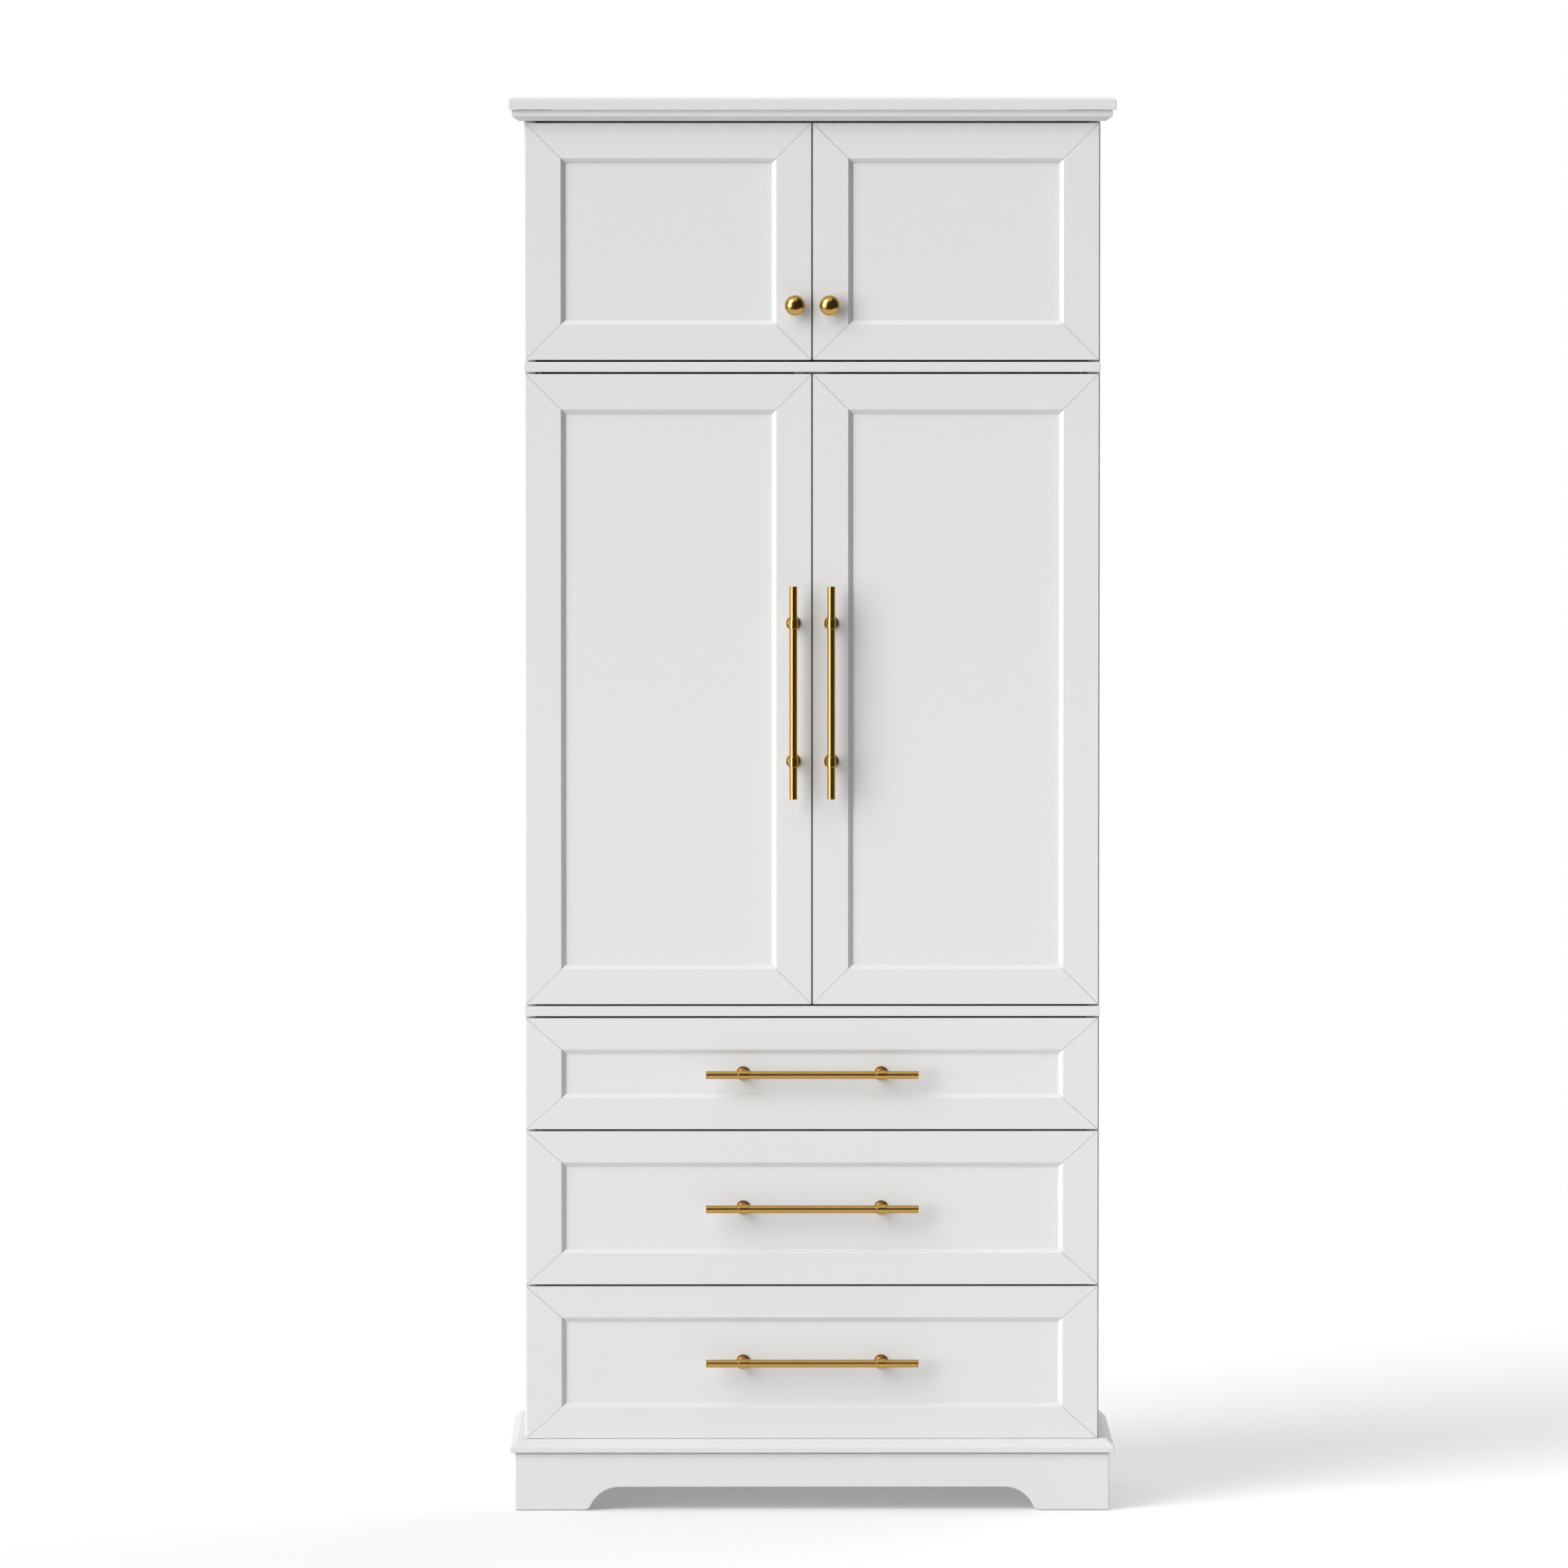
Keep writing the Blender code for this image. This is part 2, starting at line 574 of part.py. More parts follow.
def make_drawer(row, z_bottom, height, box_height):
    """A drawer front with a pull, an open box behind it, and its two runners."""
    name = f"drawer_{row}"
    x = (-X_FRONT, X_FRONT)
    z = (z_bottom, z_bottom + height)
    slide = pivot(f"{name}_slide", Vector((0, Y_DOOR_BACK, z_bottom)))
    front = block(f"{name}_front", x, (Y_FACE, Y_DOOR_BACK), z, WHITE_PAINT, ARRIS)
    boolean(front, sight_cutter(f"{name}_sight", x, z, DRAWER_RAIL_WIDTH, PANEL_RECESS), "DIFFERENCE")

    x_box = X_INNER - RUNNER_SPACE
    y_box = Y_DOOR_BACK + FIT
    y_end = y_box + BOX_LENGTH
    z_box = z_bottom + BOX_LIFT
    z_floor = z_box + BOX_BOTTOM_RECESS + BOX_BOTTOM
    x_hollow = (BOX_WALL - x_box, x_box - BOX_WALL)
    y_hollow = (y_box + BOX_WALL, y_end - BOX_WALL)
    box = block(f"{name}_box", (-x_box, x_box), (y_box, y_end), (z_box, z_box + box_height),
                WHITE_BOARD, ARRIS)
    inside = block(f"{name}_inside", x_hollow, y_hollow, (z_floor, z_box + box_height + OVERCUT))
    under = block(f"{name}_under", x_hollow, y_hollow, (z_box - OVERCUT, z_box + BOX_BOTTOM_RECESS))
    boolean(box, inside, "DIFFERENCE")
    boolean(box, under, "DIFFERENCE")

    pull = make_pull(f"{name}_pull", 0, Y_FACE + PANEL_RECESS, sum(z) / 2, upright=False)
    for piece in (front, box, pull):
        attach(piece, slide)
    for word, side in SIDES.items():
        make_runner(f"{name}_runner_{word}", side, z_box)


# ---------------------------------------------------------------- the whole piece
make_plinth()
make_base_board()
make_sides_and_back()
make_shelf("lower_shelf", Z_LOWER_SHELF)
make_shelf("upper_shelf", Z_UPPER_SHELF)
make_cornice()
make_hanging_rod()
for word, side in SIDES.items():
    upper = make_door("upper", word, Z_UPPER_DOOR, UPPER_DOOR_HEIGHT)
    attach(make_knob(f"knob_{word}", side * KNOB_INSET, Z_UPPER_DOOR + KNOB_HEIGHT), upper)
    tall = make_door("tall", word, Z_TALL_DOOR, TALL_DOOR_HEIGHT)
    z_pull = Z_TALL_DOOR + TALL_DOOR_HEIGHT / 2 - PULL_DROP
    attach(make_pull(f"pull_{word}", side * PULL_INSET, Y_FACE, z_pull, upright=True), tall)
make_drawer("bottom", Z_BOTTOM_DRAWER, BOTTOM_DRAWER_HEIGHT, DEEP_BOX_HEIGHT)
make_drawer("middle", Z_MIDDLE_DRAWER, MIDDLE_DRAWER_HEIGHT, DEEP_BOX_HEIGHT)
make_drawer("top", Z_TOP_DRAWER, TOP_DRAWER_HEIGHT, SHALLOW_BOX_HEIGHT)
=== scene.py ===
# %% [markdown]
# # A tall white armoire with brass pulls
#
# The real object is a wardrobe in satin white lacquer: two small doors on top, two tall doors
# in the middle and three drawers below, on a plinth with bracket feet. This lesson builds what
# the eye sees, board by board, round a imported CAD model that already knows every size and
# every joint. The CAD solids could simply be painted, but their edges are as sharp as drawings.
# Here each one is replaced by boards with eased edges, mitres, screws and turned brass.

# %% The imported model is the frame
import json
import math

import bmesh
import bpy
from mathutils import Matrix, Vector

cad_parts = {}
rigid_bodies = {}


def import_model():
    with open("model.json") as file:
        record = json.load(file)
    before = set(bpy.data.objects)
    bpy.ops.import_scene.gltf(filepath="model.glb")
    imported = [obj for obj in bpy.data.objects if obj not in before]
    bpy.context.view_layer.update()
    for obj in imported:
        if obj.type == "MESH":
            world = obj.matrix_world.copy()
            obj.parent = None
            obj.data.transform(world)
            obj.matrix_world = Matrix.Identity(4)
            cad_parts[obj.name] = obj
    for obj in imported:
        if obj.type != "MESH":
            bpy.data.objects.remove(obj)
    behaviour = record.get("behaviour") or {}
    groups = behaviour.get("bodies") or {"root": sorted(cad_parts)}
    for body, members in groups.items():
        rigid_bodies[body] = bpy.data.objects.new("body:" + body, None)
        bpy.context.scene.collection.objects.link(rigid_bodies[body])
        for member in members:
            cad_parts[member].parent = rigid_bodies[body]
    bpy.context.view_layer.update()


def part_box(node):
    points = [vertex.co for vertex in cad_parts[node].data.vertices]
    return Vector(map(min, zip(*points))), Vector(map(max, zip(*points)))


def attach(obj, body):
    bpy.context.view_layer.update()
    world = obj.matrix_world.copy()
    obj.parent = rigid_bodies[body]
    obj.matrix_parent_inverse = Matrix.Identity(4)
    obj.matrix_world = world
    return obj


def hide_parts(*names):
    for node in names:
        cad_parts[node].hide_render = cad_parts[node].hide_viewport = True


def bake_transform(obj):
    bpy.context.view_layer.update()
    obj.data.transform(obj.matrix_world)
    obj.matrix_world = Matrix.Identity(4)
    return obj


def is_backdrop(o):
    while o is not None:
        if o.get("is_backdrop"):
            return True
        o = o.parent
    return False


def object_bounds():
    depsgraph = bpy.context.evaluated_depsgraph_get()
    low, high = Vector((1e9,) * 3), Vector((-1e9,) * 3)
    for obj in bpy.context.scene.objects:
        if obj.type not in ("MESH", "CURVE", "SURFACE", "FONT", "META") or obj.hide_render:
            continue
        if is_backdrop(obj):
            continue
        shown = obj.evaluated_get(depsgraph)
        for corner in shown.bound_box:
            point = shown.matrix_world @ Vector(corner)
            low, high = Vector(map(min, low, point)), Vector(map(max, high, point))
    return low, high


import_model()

scene = bpy.context.scene

# %% [markdown]
# ## Shaping wood
#
# A board is a block whose edges a sander has softened. A Bevel modifier could do that, but
# cutting the bevel straight into the mesh lets one board have wide and narrow roundings.
# Weighted normals then keep the broad faces optically flat while the edges still roll over.

# %% Blocks, eased edges and finished pieces
ARRIS = 0.0010            # a sanded edge on a board
FINE_ARRIS = 0.0006       # and on narrow stock
SHARP = math.radians(35)  # edges that turn more than this are still to be rounded
CREASE = math.radians(40)  # edges that turn more than this stay crisp


def block(low, high):
    """A block between two corners."""
    low, high = Vector(low), Vector(high)
    shape = bmesh.new()
    bmesh.ops.create_cube(shape, size=1.0)
    bmesh.ops.scale(shape, vec=high - low, verts=shape.verts)
    bmesh.ops.translate(shape, vec=(low + high) / 2, verts=shape.verts)
    return shape


def ease(shape, width=ARRIS, steps=3, chosen=None):
    """Rounds the sharp edges of a shape, or only the chosen ones."""
    bmesh.ops.recalc_face_normals(shape, faces=shape.faces)
    edges = [
        edge for edge in shape.edges
        if len(edge.link_faces) == 2
        and edge.calc_face_angle() > SHARP
        and (chosen is None or chosen(edge))
    ]
    bmesh.ops.bevel(shape, geom=edges, offset=width, segments=steps, profile=0.5,
                    affect="EDGES", clamp_overlap=True)
    return shape


def board(low, high, width=ARRIS):
    """A sanded board between two corners."""
    return ease(block(low, high), width)


def mesh_of(name, shape):
    """Hands a shape over as a mesh, and lets the shape go."""
    bmesh.ops.recalc_face_normals(shape, faces=shape.faces)
    mesh = bpy.data.meshes.new(name)
    shape.to_mesh(mesh)
    shape.free()
    return mesh


def shown(name, shape, finish):
    """A shape in the scene, in its finish, smooth on its curves and sharp at its creases."""
    mesh = mesh_of(name, shape)
    mesh.materials.append(finish)
    mesh.shade_smooth()
    mesh.set_sharp_from_angle(angle=CREASE)
    made = bpy.data.objects.new(name, mesh)
    scene.collection.objects.link(made)
    return made


def piece(name, shape, finish, body, stands_for=(), place=None):
    """A finished piece that rides on its body, its broad faces shaded flat."""
    made = shown(name, shape, finish)
    if place is not None:
        made.matrix_world = place
    normals = made.modifiers.new("flat_faces", "WEIGHTED_NORMAL")
    normals.keep_sharp = True
    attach(made, body)
    if stands_for:
        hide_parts(*stands_for)
    return made


print("a board has", len(board((0, 0, 0), (1, 1, 1)).faces), "faces")

# %% [markdown]
# ## Turning, joining and boring
#
# Knobs, posts and cups come off a lathe: an outline of radius and height points, spun about an
# axis. A cylinder primitive would give the bulk, but not the little radii that catch the light.
# Holes are bored with a Boolean, once, and the result is kept as plain mesh.

# %% Lathe, boring tool and copies
ROUND = 48                # facets of a turned piece


def softened(points, radius, steps=3):
    """Rounds the corners of an outline."""
    made = [Vector(points[0])]
    for before, corner, after in zip(points, points[1:], points[2:]):
        corner = Vector(corner)
        back = Vector(before) - corner
        on = Vector(after) - corner
        start = corner + back.normalized() * min(radius, back.length * 0.45)
        end = corner + on.normalized() * min(radius, on.length * 0.45)
        for step in range(steps + 1):
            share = step / steps
            made.append(start.lerp(corner, share).lerp(corner.lerp(end, share), share))
    return made + [Vector(points[-1])]


def turned(outline, steps=ROUND):
    """Spins (radius, height) points about the Z axis."""
    shape = bmesh.new()
    verts = [shape.verts.new((point[0], 0, point[1])) for point in outline]
    edges = [shape.edges.new(pair) for pair in zip(verts, verts[1:])]
    bmesh.ops.spin(shape, geom=verts + edges, cent=(0, 0, 0), axis=(0, 0, 1),
                   angle=2 * math.pi, steps=steps, use_merge=True)
    bmesh.ops.remove_doubles(shape, verts=shape.verts, dist=1e-6)
    return shape


def rod(radius, low, high, soft=0.0004, steps=ROUND):
    """A turned rod between two heights."""
    outline = [(0, low), (radius, low), (radius, high), (0, high)]
    return turned(softened(outline, soft), steps)


def facing(direction, place):
    """Where a piece stands that was made along +Z and now looks in another direction."""
    turn = Vector(direction).to_track_quat("Z", "Y").to_matrix().to_4x4()
    return Matrix.Translation(place) @ turn


def moved(shape, place):
    bmesh.ops.transform(shape, matrix=place, verts=shape.verts)
    return shape


def joined(shapes):
    """Several shapes as one."""
    whole = bmesh.new()
    for shape in shapes:
        spare = mesh_of("spare", shape)
        whole.from_mesh(spare)
        bpy.data.meshes.remove(spare)
    return whole


def copies(shape, places):
    """The same shape at several places, as one."""
    master = mesh_of("master", shape)
    whole = bmesh.new()
    for place in places:
        spare = master.copy()
        spare.transform(place)
        whole.from_mesh(spare)
        bpy.data.meshes.remove(spare)
    bpy.data.meshes.remove(master)
    return whole


def bored(shape, tool):
    """A shape with a tool's form taken out of it."""
    pair = []
    for name, part in (("blank", shape), ("tool", tool)):
        holder = bpy.data.objects.new(name, mesh_of(name, part))
        scene.collection.objects.link(holder)
        pair.append(holder)
    cut = pair[0].modifiers.new("cut", "BOOLEAN")
    cut.operation = "DIFFERENCE"
    cut.solver = "EXACT"
    cut.object = pair[1]
    bpy.context.view_layer.update()
    result = bmesh.new()
    result.from_object(pair[0], bpy.context.evaluated_depsgraph_get())
    for holder in pair:
        mesh = holder.data
        bpy.data.objects.remove(holder)
        bpy.data.meshes.remove(mesh)
    return result


def screw_head(radius):
    """A countersunk screw's slightly domed head with a cross recess, looking along +Z."""
    height = radius * 0.35
    dome = [(0, height), (radius * 0.55, height * 0.86), (radius * 0.9, height * 0.4),
            (radius, 0), (radius * 0.8, -radius * 0.3), (0, -radius * 0.3)]
    head = turned(softened(dome, radius * 0.1, 2), 20)
    arm = radius * 0.55
    blade = radius * 0.11
    cross = block((-arm, -blade, -height * 0.2), (arm, blade, height * 2))
    head = bored(head, cross)
    return bored(head, block((-blade, -arm, -height * 0.2), (blade, arm, height * 2)))


trial = screw_head(0.004)
print("a screw head has", len(trial.faces), "faces")
trial.free()

# %% [markdown]
# ## Writing shader sums
#
# A finish is a small sum: a base value, plus a bit of noise, plus a bit of another. Nodes can be
# wired one by one, but then the sum is hard to read. A small class wraps a socket, so that
# `0.4 + 0.1 * noise` adds the Math nodes by itself. One method adds every other kind of node.

# %% A socket that sums can be written with
class Wire:
    """A node's socket. Sums written with it become Math nodes."""

    def __init__(self, tree, socket):
        self.tree = tree
        self.socket = socket

    def sum(self, operation, first, second):
        node = self.tree.nodes.new("ShaderNodeMath")
        node.operation = operation
        for value, socket in zip((first, second), node.inputs):
            if isinstance(value, Wire):
                self.tree.links.new(value.socket, socket)
            else:
                socket.default_value = value
        return Wire(self.tree, node.outputs[0])

    def __add__(self, other):
        return self.sum("ADD", self, other)

    def __radd__(self, other):
        return self.sum("ADD", other, self)

    def __sub__(self, other):
        return self.sum("SUBTRACT", self, other)

    def __rsub__(self, other):
        return self.sum("SUBTRACT", other, self)

    def __mul__(self, other):
        return self.sum("MULTIPLY", self, other)

    def __rmul__(self, other):
        return self.sum("MULTIPLY", other, self)

    def __pow__(self, other):
        return self.sum("POWER", self, other)

    def __rpow__(self, other):
        return self.sum("POWER", other, self)


class Nodes:
    """A node tree and the few kinds of node that the finishes are made of."""

    def __init__(self, tree):
        self.tree = tree

    def join(self, value, socket):
        if isinstance(value, Wire):
            self.tree.links.new(value.socket, socket)
        else:
            socket.default_value = value

    def node(self, kind, settings, sockets, output=0):
        """Any node: its settings first, then the values or links of its sockets."""
        made = self.tree.nodes.new("ShaderNode" + kind)
        for name, value in settings.items():
            setattr(made, name, value)
        for name, value in sockets.items():
            self.join(value, made.inputs[name])
        return Wire(self.tree, made.outputs[output])

    def spot(self):
        """Where a point is on its own piece."""
        return self.node("TexCoord", {}, {}, "Object")

    def noise(self, spot, scale, detail=2.0):
        return self.node("TexNoise", {}, {"Vector": spot, "Scale": scale, "Detail": detail})

    def blend(self, share, first, second):
        """A colour between two others."""
        settings = {"data_type": "RGBA"}
        sockets = {0: share, 6: (*first, 1.0), 7: (*second, 1.0)}
        return self.node("Mix", settings, sockets, 2)

    def stretched(self, spot, scale):
        """A spot on a piece, with each axis scaled by itself."""
        return self.node("Mapping", {"vector_type": "POINT"}, {"Vector": spot, "Scale": scale})


class Finish(Nodes):
    """A material made of nodes round one shader."""

    def __init__(self, name, **constant):
        self.material = bpy.data.materials.new(name)
        self.material.use_nodes = True
        super().__init__(self.material.node_tree)
        self.shader = self.tree.nodes["Principled BSDF"]
        for socket, value in constant.items():
            self.shader.inputs[socket.replace("_", " ")].default_value = value

    def finish(self, colour=None, roughness=None, height=None, depth=0.0001, strength=1.0):
        if colour is not None:
            self.join(colour, self.shader.inputs["Base Color"])
        if roughness is not None:
            self.join(roughness, self.shader.inputs["Roughness"])
        if height is not None:
            sockets = {"Height": height, "Distance": depth, "Strength": strength}
            self.join(self.node("Bump", {}, sockets), self.shader.inputs["Normal"])
        return self.material


# %% [markdown]
# ## White lacquer
#
# Sprayed lacquer on fibreboard is a satin white with three things in it: a fine orange peel
# about two millimetres across, a slow drift where one pass of the gun laid the coat thicker,
# and here and there a speck. A flat colour looks like plastic film, so all three are noise in
# the roughness and the bump, and only a breath of it is in the colour.

# %% Lacquer and white boards
def lacquer(name, white, warm, sheen):
    """Satin spray lacquer."""
    coat = Finish(name, IOR=1.5)
    spot = coat.spot()
    drift = coat.noise(spot, 5.0, 3.0)
    peel = coat.noise(spot, 420.0, 1.0)
    specks = coat.noise(spot, 95.0, 4.0) ** 6.0
    return coat.finish(
        colour=coat.blend(drift, white, warm),
        roughness=sheen + 0.10 * drift + 0.05 * peel,
        height=peel + 0.6 * specks,
        depth=0.00005,
        strength=0.4,
    )


def melamine(name, white, grey, sheen):
    """Paper-faced board with a pebbled press-plate texture."""
    face = Finish(name, IOR=1.46)
    spot = face.spot()
    settings = {"feature": "SMOOTH_F1"}
    pebbles = face.node("TexVoronoi", settings, {"Vector": spot, "Scale": 620.0})
    cloud = face.noise(spot, 24.0, 4.0)
    return face.finish(
        colour=face.blend(cloud, white, grey),
        roughness=sheen + 0.12 * pebbles + 0.06 * cloud,
        height=pebbles + 0.3 * cloud,
        depth=0.00012,
        strength=0.5,
    )


LACQUER = lacquer("satin_white_lacquer", (0.800, 0.800, 0.800), (0.785, 0.785, 0.782), 0.36)
MELAMINE = melamine("white_melamine", (0.775, 0.775, 0.770), (0.745, 0.745, 0.738), 0.46)
print("whites:", LACQUER.name, MELAMINE.name)

# %% [markdown]
# The back is thin hardboard with a printed white face. Its fibres show as short streaks that
# the paint could not quite bury, so its noise is stretched along the board's height.

# %% Painted hardboard
def hardboard(name):
    face = Finish(name, IOR=1.46)
    spot = face.spot()
    fibres = face.noise(face.stretched(spot, (900.0, 900.0, 120.0)), 1.0, 4.0)
    cloud = face.noise(spot, 9.0, 4.0)
    return face.finish(
        colour=face.blend(cloud * 0.5 + fibres * 0.5, (0.76, 0.758, 0.745), (0.70, 0.696, 0.68)),
        roughness=0.55 + 0.2 * fibres,
        height=fibres,
        depth=0.0002,
        strength=0.6,
    )


HARDBOARD = hardboard("painted_hardboard")
print("back:", HARDBOARD.name)

# %% [markdown]
# ## Brass and steel
#
# The pulls are solid brass under clear lacquer, brushed along the bar, and the knobs are
# polished on the lathe. Brushing is thousands of hair-thin scratches in one direction, so the
# noise is squeezed hard across the bar and stretched along it. On turned pieces the scratches
# run round, so there the noise only sees the height and the radius.

# %% Metals
def brushed(name, bright, deep, sheen, depth):
    """Metal brushed along its own Z axis."""
    metal = Finish(name, Metallic=1.0)
    spot = metal.spot()
    hairs = metal.noise(metal.stretched(spot, (5200.0, 5200.0, 34.0)), 1.0, 3.0)
    tarnish = metal.noise(spot, 46.0, 4.0)
    return metal.finish(
        colour=metal.blend(tarnish, bright, deep),
        roughness=sheen + 0.10 * hairs + 0.07 * tarnish,
        height=hairs,
        depth=depth,
        strength=0.35,
    )


def lathed(name, bright, deep, sheen, depth):
    """Metal polished while it turned about its own Z axis."""
    metal = Finish(name, Metallic=1.0)
    spot = metal.spot()
    flat = metal.node("VectorMath", {"operation": "MULTIPLY"}, {0: spot, 1: (1.0, 1.0, 0.0)})
    radius = metal.node("VectorMath", {"operation": "LENGTH"}, {0: flat}, "Value")
    height = metal.node("SeparateXYZ", {}, {"Vector": spot}, "Z")
    rings = metal.node("CombineXYZ", {}, {"X": radius * 2600.0, "Y": height * 2600.0})
    grooves = metal.noise(rings, 1.0, 3.0)
    tarnish = metal.noise(spot, 60.0, 4.0)
    return metal.finish(
        colour=metal.blend(tarnish, bright, deep),
        roughness=sheen + 0.08 * grooves + 0.06 * tarnish,
        height=grooves,
        depth=depth,
        strength=0.25,
    )


GOLD = (0.57, 0.352, 0.108)
OLD_GOLD = (0.48, 0.282, 0.078)
BRASS_BAR = brushed("brushed_brass", GOLD, OLD_GOLD, 0.13, 0.000004)
BRASS_TURNED = lathed("turned_brass", GOLD, OLD_GOLD, 0.13, 0.000004)
NICKEL = lathed("nickel_plate", (0.63, 0.62, 0.60), (0.54, 0.53, 0.51), 0.22, 0.00002)
STEEL = brushed("drawn_steel_tube", (0.60, 0.60, 0.60), (0.50, 0.50, 0.50), 0.24, 0.00002)
print("metals:", [metal.name for metal in (BRASS_BAR, BRASS_TURNED, NICKEL, STEEL)])

# %% [markdown]
# Zinc plating on rolled steel dries in crystals, each a slightly different grey. A Voronoi
# texture gives one grey to each cell, which noise alone would blur away. The nylon of the
# rollers is a plain moulded plastic with a faint sparkle and a soft sheen.

# %% Zinc and nylon
def zinc(name):
    metal = Finish(name, Metallic=1.0)
    spot = metal.spot()
    cells = metal.node("TexVoronoi", {}, {"Vector": spot, "Scale": 260.0}, "Color")
    shade = metal.node("SeparateXYZ", {}, {"Vector": cells}, "X")
    grime = metal.noise(spot, 30.0, 4.0)
    return metal.finish(
        colour=metal.blend(shade, (0.66, 0.67, 0.68), (0.50, 0.51, 0.53)),
        roughness=0.30 + 0.10 * shade + 0.08 * grime,
        height=shade + 0.5 * grime,
        depth=0.00002,
        strength=0.4,
    )


def nylon(name, pale, deep):
    plastic = Finish(name, IOR=1.53)
    spot = plastic.spot()
    grain = plastic.noise(spot, 1500.0, 2.0)
    cloud = plastic.noise(spot, 80.0, 3.0)
    return plastic.finish(
        colour=plastic.blend(cloud, pale, deep),
        roughness=0.38 + 0.12 * grain,
        height=grain,
        depth=0.00003,
        strength=0.4,
    )


ZINC = zinc("zinc_plated_steel")
NYLON = nylon("white_nylon", (0.74, 0.74, 0.72), (0.69, 0.69, 0.66))
print("finishes:", len(bpy.data.materials))

# %% [markdown]
# ## Framed fronts
#
# Every door and drawer front is four mitred members round a flat panel. Modelling one frame and
# scoring lines on it would fake the mitres; four real members, each with its own eased edges,
# leave the hairline V that a real joint shows. A member is a section swept along one side of
# the frame. Each point of the section is measured in from the outer edge: `whole` says whether
# it lies past the flat, `more` how much further in it is, and `deep` how far behind the face.

# %% The members' section
STILE = 0.049             # width of the upright members
DOOR_RAIL = 0.049
DRAWER_RAIL = 0.0435
STICKING = 0.0057         # bevel round the panel, seen from the front
STICKING_DEPTH = 0.005
RECESS = 0.0058           # panel's face behind the frame's
REBATE = 0.008
MITRE_ARRIS = 0.0003
MITRE_GAP = 0.00022       # half of the open joint at a mitre


def section(thickness):
    """(whole, more, deep) points round a member's cross-section."""
    return [
        (0, 0.0, thickness),
        (0, 0.0, 0.0),
        (1, 0.0, 0.0),
        (1, STICKING, STICKING_DEPTH),
        (1, STICKING, RECESS),
        (1, STICKING - REBATE, RECESS),
        (1, STICKING - REBATE, thickness),
    ]


def lofted(rings):
    """A solid through rings of points, and the rings of its own corners."""
    shape = bmesh.new()
    rings = [[shape.verts.new(point) for point in ring] for ring in rings]
    for first, second in zip(rings, rings[1:]):
        for here in range(len(first)):
            after = (here + 1) % len(first)
            shape.faces.new((first[here], first[after], second[after], second[here]))
    shape.faces.new(rings[0])
    shape.faces.new(rings[-1])
    return shape, rings


def member(low, high, rail, side):
    """One side of a mitred frame that fills the box from low to high."""
    ends = ([], [])
    for whole, more, deep in section(high.y - low.y):
        in_x = whole * STILE + more
        in_z = whole * rail + more
        if side in ("left", "right"):
            x = low.x + in_x if side == "left" else high.x - in_x
            spots = ((x, low.z + in_z + MITRE_GAP), (x, high.z - in_z - MITRE_GAP))
        else:
            z = low.z + in_z if side == "bottom" else high.z - in_z
            spots = ((low.x + in_x + MITRE_GAP, z), (high.x - in_x - MITRE_GAP, z))
        for end, (x, z) in zip(ends, spots):
            end.append((x, low.y + deep, z))
    shape, (first, last) = lofted(ends)
    outer = {first[0], first[1], last[0], last[1]}
    lengthwise = [edge for edge in shape.edges
                  if set(edge.verts) <= outer and edge.calc_length() > STILE]
    ease(shape, FINE_ARRIS, 3, lambda edge: edge in lengthwise)
    return ease(shape, MITRE_ARRIS, 2)


def framed_front(name, low, high, rail, body, stands_for, bores=()):
    """Four members; bores are the tools that go into the upright beside the hinges."""
    for side in ("left", "right", "bottom", "top"):
        shape = member(low, high, rail, side)
        for bore_side, tool in bores:
            if bore_side == side:
                shape = bored(shape, tool)
        word = "stile" if side in ("left", "right") else "rail"
        piece(f"{name}_{word}_{side}", shape, LACQUER, body, stands_for)


print("points round a member's section:", len(section(0.018)))

# %% [markdown]
# ## Doors
#
# Each door is its frame, a panel that floats in the rebate, and two blind bores for the hinge
# cups. The bore's place is read from the cup that the CAD put there.

# %% Four doors
BORE_DEPTH = 0.0122
BORE_CLEARANCE = 0.0002   # round a hinge cup
PAST = 0.010              # how far a cutting tool reaches past the wood
PANEL_ARRIS = 0.0004


def hinge_name(row, word, end):
    return f"{row}_{word}_{end}"


def door(row, word):
    body = f"{row}_door_{word}"
    low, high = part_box(f"{body}_frame")
    bores = []
    for end in ("bottom", "top"):
        cup_low, cup_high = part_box(f"hinge_cup_{hinge_name(row, word, end)}")
        centre = (cup_low + cup_high) / 2
        radius = (cup_high.x - cup_low.x) / 2 + BORE_CLEARANCE
        tool = rod(radius, -BORE_DEPTH, PAST)
        place = Vector((centre.x, high.y, centre.z))
        bores.append((word, moved(tool, facing((0, 1, 0), place))))
    framed_front(body, low, high, DOOR_RAIL, body, [f"{body}_frame"], bores)
    panel_low, panel_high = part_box(f"{body}_panel")
    piece(f"{body}_panel_board", board(panel_low, panel_high, PANEL_ARRIS), LACQUER, body,
          [f"{body}_panel"])
    return high - low


for row in ("upper", "tall"):
    for word in ("left", "right"):
        size = door(row, word)
    print(row, "doors:", [round(side, 4) for side in size])

# %% [markdown]
# ## Drawers
#
# A drawer front is framed like a door, but its panel runs through to the back. Behind it is a
# box of five boards: two sides, a front and a back let in between them, and a bottom a little
# above their lower edges. Screws hold the rear corners, so their heads show on the sides.

# %% Three drawers
BOX_WALL = 0.012
BOX_BOTTOM = 0.006
BOX_BOTTOM_UP = 0.008     # bottom board above the lower edge of the sides
JOINT = 0.00015           # hairline between glued boards
FIT = 0.0003              # clearance between fitted pieces
PANEL_FIT = 0.0002        # all round a drawer front's panel
PANEL_BACK = 0.0001       # and between its face and the members
BOARD_ARRIS = 0.0008
SCREW_IN = 0.03           # a joint's screws, in from the edges
SCREW_OUT = 0.24          # the front's screws, out from the middle


